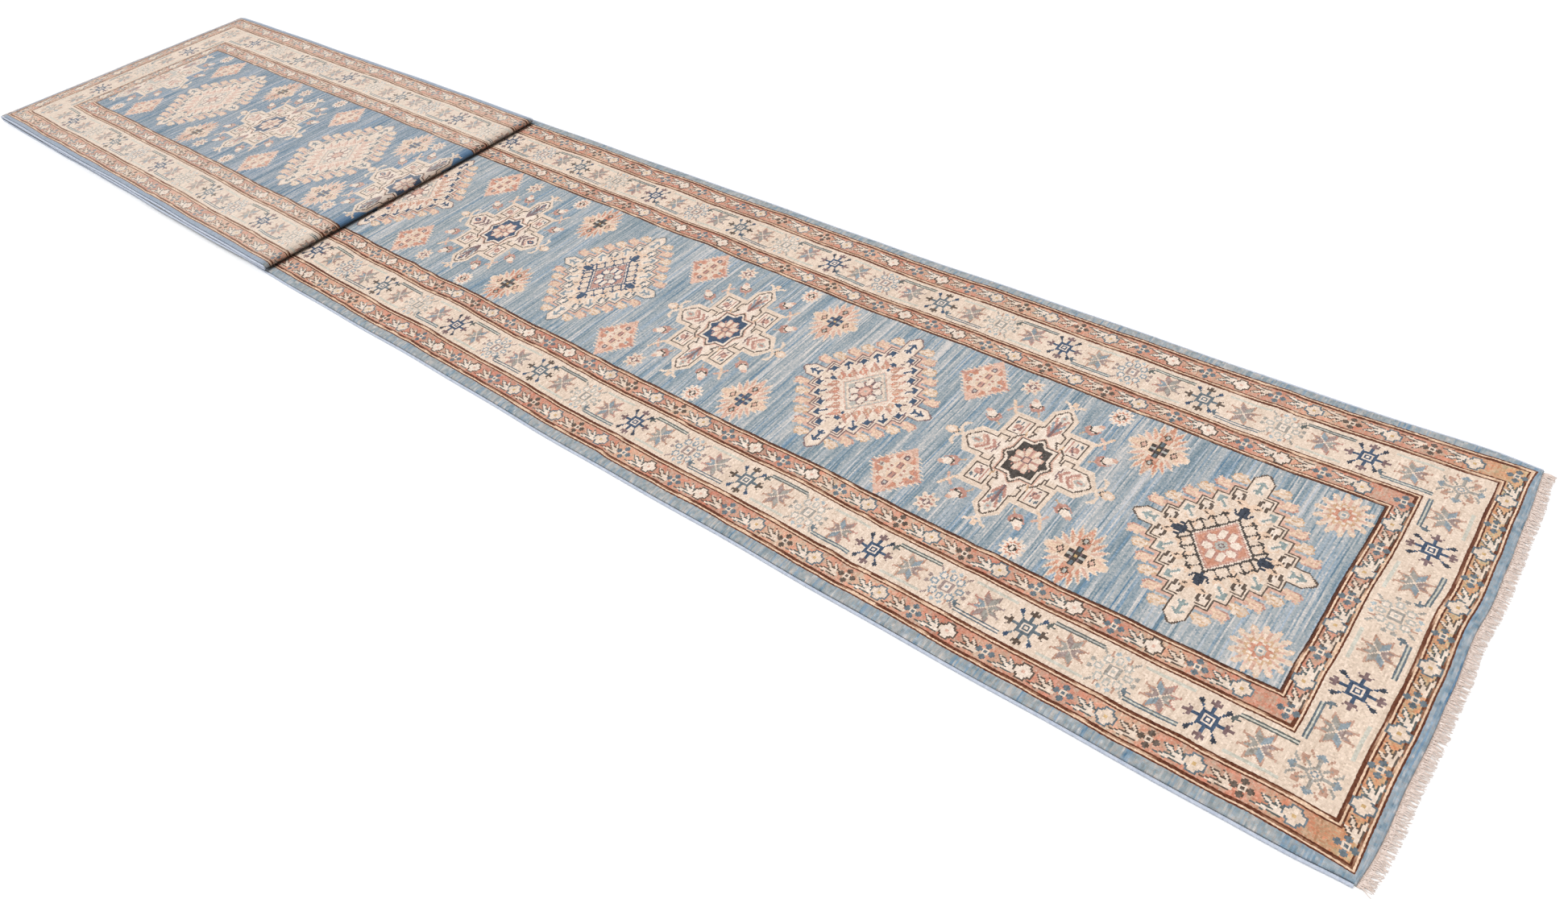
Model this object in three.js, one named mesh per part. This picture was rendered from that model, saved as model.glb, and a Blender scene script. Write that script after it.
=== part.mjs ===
// Hand-knotted wool runner rug, folded twice like a letter Z, in millimetres with +Z up.
// The rug lies lengthwise along Y with its near end at low Y. It is three straight lengths joined by two
// half-round folds: the base length lies pile up on the floor, the middle length comes back over it pile down,
// and the top length runs pile up again to the far end. The origin is on the floor, under the middle of the rug.
import * as THREE from 'three';

// Driving dimensions
const GAP = 0.3; // clearance between neighbouring solids
const FOUNDATION = 2.6; // thickness of the woven warps and wefts
const PILE = 4.6; // height of the knotted wool above the foundation
const LOOSE = 1.8; // air between two lengths that lie on each other
const FIELD_WIDTH = 400;
// The pile's bands from the outside inwards: each one's width along the sides, the near end and the far end.
// The inner and outer border include their guard stripes.
const BAND_WIDTHS = {
  edge_band: [17.5, 12.5, 12.5],
  outer_border: [55, 40, 50],
  main_border: [82.5, 80, 90],
  inner_border: [52.5, 40, 45],
};
const SELVEDGE = 5; // diameter of the overcast side cord
const SHOWN_LENGTH = 2380; // pile of the base length that the folded part leaves open
const TOP_LENGTH = 1500; // pile of the top length, from the front fold to the far end
const END_CLEARANCE = 25; // from the far end's pile to the axis of the back fold
const KILIM = 5; // flat woven strip at each end
const KILIM_THICKNESS = 2.4;
const TWINING = 2.6; // diameter of the cord that locks the last weft
const FRINGE_LENGTH = 12;
const FRINGE_THICKNESS = 1.8;
const FRINGE_PITCH = 10; // one knotted bundle of warp ends
const TASSEL_WIDTH = 7;
const FRINGE_SPINE = 3; // joined root of the bundles
const ARC_STEPS = 12; // facets round half of a fold
const CORD_SIDES = 12;

// Derived sizes
const THICKNESS = FOUNDATION + GAP + PILE;
const LAYER = THICKNESS + LOOSE;
const [SIDE_BORDER, NEAR_BORDER, FAR_BORDER] = [0, 1, 2].map(
  (where) => Object.values(BAND_WIDTHS).reduce((sum, widths) => sum + widths[where], 0));
const PILE_WIDTH = FIELD_WIDTH + 2 * SIDE_BORDER;
const END_TRIM = KILIM + TWINING + FRINGE_LENGTH + 3 * GAP;
const FOLD_RADIUS = (LAYER + THICKNESS) / 2; // from a fold's axis to its outside
const SPAN = END_TRIM + SHOWN_LENGTH + TOP_LENGTH + END_CLEARANCE + FOLD_RADIUS;
const NEAR_END = -SPAN / 2 + END_TRIM;
const FRONT_FOLD = NEAR_END + SHOWN_LENGTH;
const BACK_FOLD = FRONT_FOLD + TOP_LENGTH + END_CLEARANCE;
const FAR_END = FRONT_FOLD + TOP_LENGTH;
const BACK_AXIS_Z = FOLD_RADIUS;
const FRONT_AXIS_Z = LAYER + FOLD_RADIUS;
const SELVEDGE_X = PILE_WIDTH / 2 + GAP + SELVEDGE / 2;
const SELVEDGE_Z = SELVEDGE / 2; // height of the side cord above the back of the rug

const COLOURS = {
  foundation: 0xd9cdbb,
  field: 0x7d9ab8,
  inner_border: 0xcf9a80,
  main_border: 0xf0d9be,
  outer_border: 0xd6a488,
  edge_band: 0x8598a6,
  selvedge: 0xa9b8d6,
  kilim: 0xdcc3b0,
  twining: 0xe6cdbd,
  fringe: 0xecd5c8,
};

// Where each band starts and stops, measured inwards from the pile's edge along the sides and along each end
const BANDS = [];
const reach = [0, 0, 0];
for (const [name, widths] of Object.entries(BAND_WIDTHS)) {
  const outside = [...reach];
  widths.forEach((width, where) => { reach[where] += width; });
  BANDS.push({ name, outside, inside: reach.map((distance) => distance - GAP) });
}

const rug = new THREE.Group();

function wool(colour) {
  return new THREE.MeshStandardMaterial({ color: colour, roughness: 0.95, metalness: 0 });
}

function add(group, name, colour, geometry) {
  const mesh = new THREE.Mesh(geometry, wool(COLOURS[colour]));
  mesh.name = name;
  group.add(mesh);
  return mesh;
}

// A closed outline in X and Y, raised from one height to another
function slab(points, low, high) {
  const shape = new THREE.Shape(points.map(([x, y]) => new THREE.Vector2(x, y)));
  const geometry = new THREE.ExtrudeGeometry(shape, { depth: high - low, bevelEnabled: false });
  return geometry.translate(0, 0, low);
}

function strip(x0, x1, y0, y1, low, high) {
  return slab([[x0, y0], [x1, y0], [x1, y1], [x0, y1]], low, high);
}

// Heights of a length's foundation and pile. The middle length lies pile down.
function heights(layer, pileUp) {
  const floor = layer * LAYER;
  const foundation = pileUp ? floor : floor + GAP + PILE;
  const pile = pileUp ? floor + FOUNDATION + GAP : floor;
  const cord = pileUp ? floor + SELVEDGE_Z : floor + THICKNESS - SELVEDGE_Z;
  return { foundation, pile, cord };
}

function sideCord(y0, y1, x, z) {
  const cord = new THREE.CylinderGeometry(SELVEDGE / 2, SELVEDGE / 2, y1 - y0, CORD_SIDES);
  return cord.translate(x, (y0 + y1) / 2, z);
}

function selvedges(group, prefix, y0, y1, z) {
  add(group, `${prefix}_selvedge_left`, 'selvedge', sideCord(y0, y1, -SELVEDGE_X, z));
  add(group, `${prefix}_selvedge_right`, 'selvedge', sideCord(y0, y1, SELVEDGE_X, z));
}

function foundation(group, prefix, y0, y1, low) {
  const half = PILE_WIDTH / 2;
  add(group, `${prefix}_foundation`, 'foundation', strip(-half, half, y0, y1, low, low + FOUNDATION));
}

// A length that holds one end of the rug: every band turns the corner and runs across that end
function endLength(group, prefix, end, fold, layer) {
  const { foundation: back, pile, cord } = heights(layer, true);
  const inward = Math.sign(fold - end);
  const where = inward > 0 ? 1 : 2;
  const join = fold - inward * GAP;
  const half = PILE_WIDTH / 2;
  foundation(group, prefix, Math.min(end, join), Math.max(end, join), back);
  const field = FIELD_WIDTH / 2;
  const fieldEnd = end + inward * (where === 1 ? NEAR_BORDER : FAR_BORDER);
  add(group, `${prefix}_field_pile`, 'field',
    strip(-field, field, Math.min(fieldEnd, join), Math.max(fieldEnd, join), pile, pile + PILE));
  for (const { name, outside, inside } of BANDS) {
    const [outerX, innerX] = [half - outside[0], half - inside[0]];
    const [outerY, innerY] = [end + inward * outside[where], end + inward * inside[where]];
    const u = [
      [-outerX, outerY], [outerX, outerY], [outerX, join], [innerX, join],
      [innerX, innerY], [-innerX, innerY], [-innerX, join], [-outerX, join],
    ];
    add(group, `${prefix}_${name}_pile`, name, slab(u, pile, pile + PILE));
  }
  selvedges(group, prefix, Math.min(end, join), Math.max(end, join), cord);
}

// A length between the two folds: every band is a pair of straight strips
function middleLength(group, prefix, y0, y1, layer) {
  const { foundation: back, pile, cord } = heights(layer, false);
  foundation(group, prefix, y0, y1, back);
  const field = FIELD_WIDTH / 2;
  add(group, `${prefix}_field_pile`, 'field', strip(-field, field, y0, y1, pile, pile + PILE));
  for (const { name, outside, inside } of BANDS) {
    const [outer, inner] = [PILE_WIDTH / 2 - outside[0], PILE_WIDTH / 2 - inside[0]];
    add(group, `${prefix}_${name}_pile_left`, name, strip(-outer, -inner, y0, y1, pile, pile + PILE));
    add(group, `${prefix}_${name}_pile_right`, name, strip(inner, outer, y0, y1, pile, pile + PILE));
  }
  selvedges(group, prefix, y0, y1, cord);
}

// The flat woven strip, the twined cord and the fringe beyond the last row of knots
function endFinish(group, prefix, end, outward, layer) {
  const back = layer * LAYER;
  const half = PILE_WIDTH / 2;
  const near = end + outward * GAP;
  const far = near + outward * KILIM;
  add(group, `${prefix}_kilim_strip`, 'kilim',
    strip(-half, half, Math.min(near, far), Math.max(near, far), back, back + KILIM_THICKNESS));

  const cord = new THREE.CylinderGeometry(TWINING / 2, TWINING / 2, 2 * half, CORD_SIDES);
  cord.rotateZ(Math.PI / 2).translate(0, far + outward * (GAP + TWINING / 2), back + TWINING / 2);
  add(group, `${prefix}_twined_cord`, 'twining', cord);

  const root = far + outward * (2 * GAP + TWINING);
  const spine = root + outward * FRINGE_SPINE;
  const tip = root + outward * FRINGE_LENGTH;
  const bundles = Math.floor(2 * half / FRINGE_PITCH);
  const comb = [[-half, root], [half, root]];
  for (let i = bundles - 1; i >= 0; i--) {
    const centre = (i - (bundles - 1) / 2) * FRINGE_PITCH;
    const right = i === bundles - 1 ? half : centre + TASSEL_WIDTH / 2;
    const left = i === 0 ? -half : centre - TASSEL_WIDTH / 2;
    comb.push([right, spine], [centre + TASSEL_WIDTH / 4, tip], [centre - TASSEL_WIDTH / 4, tip], [left, spine]);
  }
  add(group, `${prefix}_fringe`, 'fringe', slab(comb, back, back + FRINGE_THICKNESS));
}

// Half of a ring in Y and Z, carried across the rug's width
function foldShell(axisY, axisZ, side, inner, outer) {
  const shape = new THREE.Shape();
  const arc = (radius, step) => {
    const turn = Math.PI * (step / ARC_STEPS - 0.5);
    return [side * radius * Math.cos(turn), radius * Math.sin(turn)];
  };
  for (let i = 0; i <= ARC_STEPS; i++) shape[i ? 'lineTo' : 'moveTo'](...arc(outer, i));
  for (let i = ARC_STEPS; i >= 0; i--) shape.lineTo(...arc(inner, i));
  const geometry = new THREE.ExtrudeGeometry(shape, { depth: PILE_WIDTH, bevelEnabled: false });
  geometry.translate(0, 0, -PILE_WIDTH / 2);
  geometry.applyMatrix4(new THREE.Matrix4().makeBasis(
    new THREE.Vector3(0, 1, 0), new THREE.Vector3(0, 0, 1), new THREE.Vector3(1, 0, 0)));
  return geometry.translate(0, axisY, axisZ);
}

class HalfTurn extends THREE.Curve {
  constructor(x, axisY, axisZ, side, radius) {
    super();
    Object.assign(this, { x, axisY, axisZ, side, radius });
  }

  getPoint(t, target = new THREE.Vector3()) {
    const turn = Math.PI * (t - 0.5);
    const along = this.side * this.radius * Math.cos(turn);
    return target.set(this.x, this.axisY + along, this.axisZ + this.radius * Math.sin(turn));
  }
}

function cordSection() {
  const shape = new THREE.Shape();
  for (let i = 0; i < CORD_SIDES; i++) {
    const turn = 2 * Math.PI * (i + 0.5) / CORD_SIDES;
    shape[i ? 'lineTo' : 'moveTo'](Math.cos(turn) * SELVEDGE / 2, Math.sin(turn) * SELVEDGE / 2);
  }
  return shape;
}

// The half-round turn of the rug from one length to the next
function foldTurn(group, prefix, axisY, axisZ, side, pileOutside) {
  const hollow = FOLD_RADIUS - THICKNESS;
  const backInner = pileOutside ? hollow : hollow + PILE + GAP;
  const pileInner = pileOutside ? hollow + FOUNDATION + GAP : hollow;
  const middle = pileOutside ? hollow + SELVEDGE_Z : FOLD_RADIUS - SELVEDGE_Z;
  add(group, `${prefix}_foundation`, 'foundation',
    foldShell(axisY, axisZ, side, backInner, backInner + FOUNDATION));
  add(group, `${prefix}_pile`, 'field', foldShell(axisY, axisZ, side, pileInner, pileInner + PILE));
  for (const [where, x] of [['left', -SELVEDGE_X], ['right', SELVEDGE_X]]) {
    const extrudePath = new HalfTurn(x, axisY, axisZ, side, middle);
    add(group, `${prefix}_selvedge_${where}`, 'selvedge',
      new THREE.ExtrudeGeometry(cordSection(), { steps: ARC_STEPS, extrudePath }));
  }
}

const base = new THREE.Group();
endLength(base, 'base', NEAR_END, BACK_FOLD, 0);
endFinish(base, 'near', NEAR_END, -1, 0);
foldTurn(base, 'back_fold', BACK_FOLD, BACK_AXIS_Z, 1, false);

const middle = new THREE.Group();
middleLength(middle, 'middle', FRONT_FOLD + GAP, BACK_FOLD - GAP, 1);
foldTurn(middle, 'front_fold', FRONT_FOLD, FRONT_AXIS_Z, -1, true);

const top = new THREE.Group();
endLength(top, 'top', FAR_END, FRONT_FOLD, 2);
endFinish(top, 'far', FAR_END, 1, 2);

rug.add(base, middle, top);

export default rug;
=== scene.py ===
"""A hand-knotted wool runner rug that lies folded twice, like a letter Z, with its near end open.

The pile is drawn the way it is woven, from a chart: one dye for each knot, in rows across the rug.
The chart runs the whole length of the unfolded rug, and place() lays that length into three straight
lengths and two folds.
"""
import math

import bpy
import numpy as np
from mathutils import Matrix, Vector


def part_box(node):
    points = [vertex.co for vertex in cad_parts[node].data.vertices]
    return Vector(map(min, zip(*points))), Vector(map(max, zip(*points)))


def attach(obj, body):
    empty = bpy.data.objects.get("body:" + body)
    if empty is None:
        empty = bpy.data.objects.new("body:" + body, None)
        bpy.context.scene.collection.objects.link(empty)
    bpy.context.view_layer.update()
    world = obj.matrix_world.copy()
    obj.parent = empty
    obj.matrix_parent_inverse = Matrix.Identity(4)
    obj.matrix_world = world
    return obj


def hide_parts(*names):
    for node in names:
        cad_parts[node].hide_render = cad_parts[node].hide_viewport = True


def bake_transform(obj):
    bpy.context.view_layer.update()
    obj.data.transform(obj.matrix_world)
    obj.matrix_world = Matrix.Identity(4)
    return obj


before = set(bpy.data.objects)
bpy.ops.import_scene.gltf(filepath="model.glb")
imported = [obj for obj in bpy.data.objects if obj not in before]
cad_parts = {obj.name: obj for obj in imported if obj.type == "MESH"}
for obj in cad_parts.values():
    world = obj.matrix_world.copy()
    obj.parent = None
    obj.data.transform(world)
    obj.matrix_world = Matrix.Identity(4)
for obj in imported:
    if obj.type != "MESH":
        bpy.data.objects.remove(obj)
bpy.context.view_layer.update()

# ---- sizes, in metres, from the frame
KNOT = 0.0025
GUARD = 4  # knots in a guard stripe: rust, a worn knot, cream, rust


def low(node):
    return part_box(node)[0]


def high(node):
    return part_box(node)[1]


NEAR_END = low("base_foundation")[1]
BACK_FOLD = low("back_fold_foundation")[1]
FRONT_FOLD = high("front_fold_foundation")[1]
FAR_END = high("top_foundation")[1]
HALF_WIDTH = high("base_foundation")[0]
FOUNDATION = high("base_foundation")[2]
PILE_LOW = low("base_field_pile")[2]
PILE_TOP = high("base_field_pile")[2]
BACK_AXIS = (low("back_fold_foundation")[2] + high("back_fold_foundation")[2]) / 2
FRONT_AXIS = (low("front_fold_pile")[2] + high("front_fold_pile")[2]) / 2
FOLD_OUTSIDE = high("back_fold_foundation")[2] - BACK_AXIS
FOLD_HOLLOW = high("front_fold_foundation")[2] - FRONT_AXIS - FOUNDATION
SELVEDGE_X = (low("base_selvedge_right")[0] + high("base_selvedge_right")[0]) / 2
SELVEDGE_RADIUS = (high("base_selvedge_right")[0] - low("base_selvedge_right")[0]) / 2

BASE_LENGTH = BACK_FOLD - NEAR_END
MIDDLE_LENGTH = BACK_FOLD - FRONT_FOLD
TOP_LENGTH = FAR_END - FRONT_FOLD
FOLD_LENGTH = 12 * KNOT  # cloth taken up by each half-round turn

COLUMNS = round(2 * HALF_WIDTH / KNOT)


def rows_in(length):
    return round(length / KNOT)


# Rows at which one stretch of the rug passes into the next
BASE_END = rows_in(BASE_LENGTH)
MIDDLE_START = BASE_END + rows_in(FOLD_LENGTH)
MIDDLE_END = MIDDLE_START + rows_in(MIDDLE_LENGTH)
TOP_START = MIDDLE_END + rows_in(FOLD_LENGTH)
ROWS = TOP_START + rows_in(TOP_LENGTH)

# The same places in metres from the near end, and the middle of the front fold
S_BASE = BASE_END * KNOT
S_MIDDLE = MIDDLE_START * KNOT
S_MIDDLE_END = MIDDLE_END * KNOT
S_TOP = TOP_START * KNOT
S_END = ROWS * KNOT
S_NOSE = (S_MIDDLE_END + S_TOP) / 2
S_UNDER_FOLD = FRONT_FOLD - NEAR_END

# The pile's bands from the outside inwards
BANDS = ("edge_band", "outer_border", "main_border", "inner_border")


def widths(length, pick, axis):
    """The bands' widths in knots, measured towards one side or end of the rug."""
    edges = [pick(f"{length}_{name}_pile")[axis] for name in (*BANDS, "field")]
    return [round(abs(a - b) / KNOT) for a, b in zip(edges, edges[1:])]


SIDE = widths("base", high, 0)
NEAR = widths("base", low, 1)
FAR = widths("top", high, 1)

# ---- dyes, as seen in daylight
DYES = {
    "field": (163, 170, 174),
    "cream": (230, 208, 189),
    "ivory": (236, 217, 201),
    "peach": (230, 199, 174),
    "pink": (218, 176, 157),
    "rose": (190, 142, 128),
    "coral": (206, 146, 122),
    "salmon": (206, 156, 133),
    "tan": (212, 174, 140),
    "blush": (228, 192, 172),
    "umber": (98, 84, 74),
    "bark": (76, 46, 34),
    "rust": (98, 50, 28),
    "stone": (162, 156, 148),
    "guard": (233, 199, 170),
    "worn": (164, 125, 100),
    "navy": (66, 84, 108),
    "night": (60, 66, 78),
    "charcoal": (76, 69, 64),
    "plum": (128, 104, 104),
    "slate": (104, 115, 122),
    "steel": (142, 153, 160),
    "mist": (186, 182, 174),
    "teal": (146, 158, 156),
    "gold": (204, 168, 118),
    "lichen": (94, 99, 96),
    "bone": (204, 199, 186),
    "haze": (172, 181, 184),
    "fawn": (190, 150, 130),
    "mauve": (160, 140, 134),
    "band": (164, 168, 169),
}
INKS = {name: index for index, name in enumerate(DYES)}
DYES_TABLE = np.array(list(DYES.values()), float)


# ---- shapes on the chart, measured in knots
def poly(*points):
    def mask(x, y):
        inside = np.zeros(x.shape, bool)
        for (x0, y0), (x1, y1) in zip(points, points[1:] + points[:1]):
            if y0 != y1:
                inside ^= ((y0 > y) != (y1 > y)) & (x < x0 + (y - y0) * (x1 - x0) / (y1 - y0))
        return inside
    return mask


def stroke(width, *points):
    def mask(x, y):
        near = np.zeros(x.shape, bool)
        for (x0, y0), (x1, y1) in zip(points, points[1:]):
            dx, dy = x1 - x0, y1 - y0
            t = np.clip(((x - x0) * dx + (y - y0) * dy) / (dx * dx + dy * dy or 1), 0, 1)
            near |= np.hypot(x - x0 - t * dx, y - y0 - t * dy) < width / 2
        return near
    return mask


def box(x0, y0, x1, y1):
    return lambda x, y: (x > x0) & (x < x1) & (y > y0) & (y < y1)


def lozenge(cx, cy, rx, ry):
    return lambda x, y: np.abs(x - cx) / rx + np.abs(y - cy) / ry < 1


def oval(cx, cy, rx, ry):
    return lambda x, y: ((x - cx) / rx) ** 2 + ((y - cy) / ry) ** 2 < 1


def rosette(rx, ry, petals, notch, wave=np.cos):
    """A round flower with notches between its petals: on the axes with np.cos, between them with np.sin."""
    def mask(x, y):
        angle = np.arctan2(y / ry, x / rx)
        rim = 1 - notch * np.abs(wave(petals * angle / 2)) ** 3
        return np.hypot(x / rx, y / ry) < rim
    return mask


def centred(shape, *layers):
    """One shape round the middle in several sizes: its dye, half its width and half its height."""
    return [(dye, shape(0, 0, rx, ry)) for dye, rx, ry in layers]


def petals(rim, fill, margin, *places):
    """Ovals of one dye, each with a rim of another."""
    layers = []
    for x, y, rx, ry in places:
        layers += [(rim, oval(x, y, rx + margin, ry + margin)), (fill, oval(x, y, rx, ry))]
    return layers


def moved(cx, cy, layers):
    """Layers that are drawn around their own middle, moved to this one."""
    def shifted(mask):
        return lambda x, y: mask(x - cx, y - cy)
    return [(dye, shifted(mask)) for dye, mask in layers]


def pointed_leaf(rim, dye, root, tip, half):
    """A leaf from root to tip with a rim of another dye."""
    (x0, y0), (x1, y1) = root, tip
    length = math.hypot(x1 - x0, y1 - y0)
    sx, sy = -(y1 - y0) / length, (x1 - x0) / length
    mx, my = x0 + 0.62 * (x1 - x0), y0 + 0.62 * (y1 - y0)
    layers = []
    for w, fill, reach in ((half + 1, rim, 1.0), (half, dye, 0.86)):
        left = [(x0 - sx * w, y0 - sy * w), (mx - sx * w * 0.9, my - sy * w * 0.9)]
        right = [(mx + sx * w * 0.9, my + sy * w * 0.9), (x0 + sx * w, y0 + sy * w)]
        end = (x0 + reach * (x1 - x0), y0 + reach * (y1 - y0))
        layers.append((fill, poly(*left, end, *right)))
    return layers


def quarter(*layers):
    """A motif that is drawn for one quarter and mirrored into the other three."""
    return ("quarter", layers)


def whole(*layers):
    """A motif that is drawn all round."""
    return ("whole", layers)


class Chart:
    """One dye for each knot. Columns run from the left side and rows from the near end."""

    def __init__(self):
        self.ink = np.full((ROWS, COLUMNS), INKS["field"], np.uint8)

    def stamp(self, motif, u, v, reach, turned=False, mirror_u=1, mirror_v=1):
        """Draws a motif around a point, u knots right of the middle and v knots from the near end."""
        symmetry, layers = motif
        u, v = round(u), round(v)
        c0, c1 = (int(np.clip(u + COLUMNS / 2 + side * reach, 0, COLUMNS)) for side in (-1, 1))
        r0, r1 = (int(np.clip(v + side * reach, 0, ROWS)) for side in (-1, 1))
        if c0 >= c1 or r0 >= r1:
            return
        x = (np.arange(c0, c1) + 0.5 - COLUMNS / 2 - u)[None, :] * mirror_u + np.zeros((r1 - r0, 1))
        y = (np.arange(r0, r1) + 0.5 - v)[:, None] * mirror_v + np.zeros((1, c1 - c0))
        if turned:
            x, y = y, x
        if symmetry == "quarter":
            x, y = np.abs(x), np.abs(y)
        patch = self.ink[r0:r1, c0:c1]
        for dye, mask in layers:
            patch[mask(x, y)] = INKS[dye]


# ---- field motifs
# The serrated medallion's edge goes down in steps from the leaf at its top to the leaf at its side
STEPS = 6
STEP_RUN, STEP_FALL = 9, 6.8
LEAF_HALF = 6.5  # half the width of the medallion's own four leaves
STEP_TOP = 40.5
TIP_X, TIP_Y = 70.5, 55.5


def step_corner(step):
    """The outer corner of a step, snapped to the middle of a knot."""
    x = LEAF_HALF + STEP_RUN * step
    y = STEP_TOP - STEP_FALL * step
    return x, math.floor(y) + 0.5


def medallion_edge(inset=0.0):
    points = [(0, TIP_Y - inset), (1, TIP_Y - inset), (LEAF_HALF - inset, 49.5 - inset)]
    for step in range(STEPS):
        x, y = step_corner(step)
        points += [(x - inset, y - inset), (x + STEP_RUN * (step < STEPS - 1) - inset, y - inset)]
    return points + [(64.5 - inset, 6.5 - inset), (TIP_X - inset, 1), (TIP_X - inset, 0)]


def ring_leaf(dye, shade, curl):
    """A tufted leaf that hangs from the medallion's edge, sometimes with a small curl at its tip."""
    outline = (-2.4, -6), (1, -6.6), (4, -2), (4.8, 1.6), (2.6, 4.6), (-0.8, 5.2), (-3.2, 2.4), (-3, -1.4)
    layers = [
        (shade, poly(*outline)),
        (dye, oval(0.4, 0.4, 3, 3.8)),
        (dye, stroke(2.2, (-1, -6), (0.6, -1))),
        (dye, oval(3.4, -2, 2, 1.4)),
        (shade, stroke(1.05, (0, -2.5), (1.4, 2))),
    ]
    if curl:
        layers.append((dye, stroke(1.5, (2, 3), (5, 3.4))))
        layers.append(("rose", stroke(1.05, (-2.6, -1), (-2, 3), (0.5, 4.6))))
    return layers


# What fills a step of the medallion, drawn from the step's outer corner
STEP_PATCH = ("ivory", poly((-13, -3), (-3, -3), (-3, -9), (-8, -9.5)))
STEP_WEDGE = poly((-20, -15), (-11, -13), (-4, -4), (-12, -5))
STEP_TOOTH = poly((-4, -3.6), (-10, -3.6), (-7.5, -5.4), (-10.5, -8), (-5.6, -7.4), (-3.6, -9))


def hollow_arrow(arrow):
    return [
        ("ivory", stroke(5, (-11, -9), (-4, -4))),
        (arrow, stroke(1.7, (-11, -9), (-4.5, -3.5))),
        (arrow, stroke(1.3, (-8.5, -3.5), (-3.5, -3), (-3.5, -7))),
    ]


def stepped_lines(line):
    """Broken lines that follow the step on its inner side."""
    return [
        STEP_PATCH,
        (line, stroke(1.1, (-STEP_RUN, -2), (-2, -2), (-2, -STEP_FALL - 1))),
        (line, stroke(1.2, (-12, -3.5), (-7.5, -3.5))),
        (line, stroke(1.2, (-9, -8.5), (-4.5, -8.5), (-4.5, -6.5))),
        (line, stroke(1.2, (-13, -8.5), (-12, -7.5))),
        (line, oval(-9.5, -6, 1.1, 1.1)),
    ]


def end_leaves(arrow):
    """The medallion's own leaves at its top and side, each with an arrow inside."""
    return [
        ("ivory", poly((0, 39), (4.5, 39), (4.5, 48.5), (1.5, 52.5), (0, 52.5))),
        (arrow, stroke(1.5, (0.5, 42), (0.5, 49))),
        (arrow, stroke(1.5, (0.5, 47.5), (3, 45.5))),
        (arrow, stroke(1.3, (0.5, 42.5), (2.8, 41))),
        ("ivory", poly((50, 0), (50, 4.5), (63.5, 4.5), (67.5, 0.5), (67.5, 0))),
        (arrow, stroke(1.4, (52, 0.5), (62.5, 0.5))),
        (arrow, stroke(1.4, (61.5, 0.5), (59.5, 3))),
        (arrow, stroke(1.4, (54.5, 0.5), (52.5, 2.8))),
    ]


def hooked_heart(comb, bud, heart, seam):
    """The diamond in the medallion's middle: combs and buds outside it and a flower inside."""
    layers = []
    hook = [
        (comb, stroke(1.2, (0, 0), (3.4, 3.2), (5.4, 6))),
        (comb, stroke(1.5, (2.6, 7), (5.4, 6), (6.4, 3.6))),
    ]
    for share in (0.1, 0.32, 0.56, 0.8):
        layers += moved(26 * share, 20 * (1 - share), hook)
    diamonds = (comb, 26.5, 20.5), ("ivory", 24.2, 18.6), (seam, 22.6, 17.4), ("pink", 21.2, 16.2)
    return layers + [
        *centred(lozenge, *diamonds, (heart, 20.2, 15.4)),
        (comb, stroke(1.3, (0.5, 20), (0.5, 23))),
        (bud, poly((0, 21.5), (3, 22.5), (3.4, 26), (2, 30.5), (0, 31))),
        (bud, stroke(1.5, (2.5, 23.5), (4.8, 25), (5, 27))),
        (bud, poly((25, 0), (27.5, 1.4), (29, 2.6), (35, 2.6), (37.5, 1), (37.5, 0))),
        (bud, stroke(1.3, (28, 2), (29.5, 4.4), (32.5, 5.4))),
        *petals(seam, "ivory", 0.8, (3.6, 7.2, 3, 3.2), (9.4, 3, 4.2, 2.3)),
        ("mist", oval(0, 0, 4.2, 3.6)),
        ("plum", lozenge(0, 0, 2.6, 2.6)),
        ("mist", oval(0, 0, 1.1, 1.1)),
    ]


def serrated_medallion(line, comb, bud, arrow, cell, heart, seam):
    layers = [("pink", stroke(3.2, *medallion_edge(-1.2)[4:-3]))]
    for step in range(STEPS):
        x, y = step_corner(step)
        leaf = ring_leaf("cream", "tan", False) if step % 2 else ring_leaf("peach", "pink", True)
        layers += moved(x + 7.5, y + 7, leaf)
    edge = medallion_edge()
    layers += [("cream", poly((0, 0), *edge)), (line, stroke(1.1, *edge[1:-1]))]
    for step in range(STEPS - 1):
        x, y = step_corner(step)
        filling = hollow_arrow(arrow) if step % 2 else stepped_lines(line)
        layers += moved(x + STEP_RUN, y, [(cell, STEP_WEDGE), *filling])
    return quarter(*layers, *end_leaves(arrow), *hooked_heart(comb, bud, heart, seam))


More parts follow.
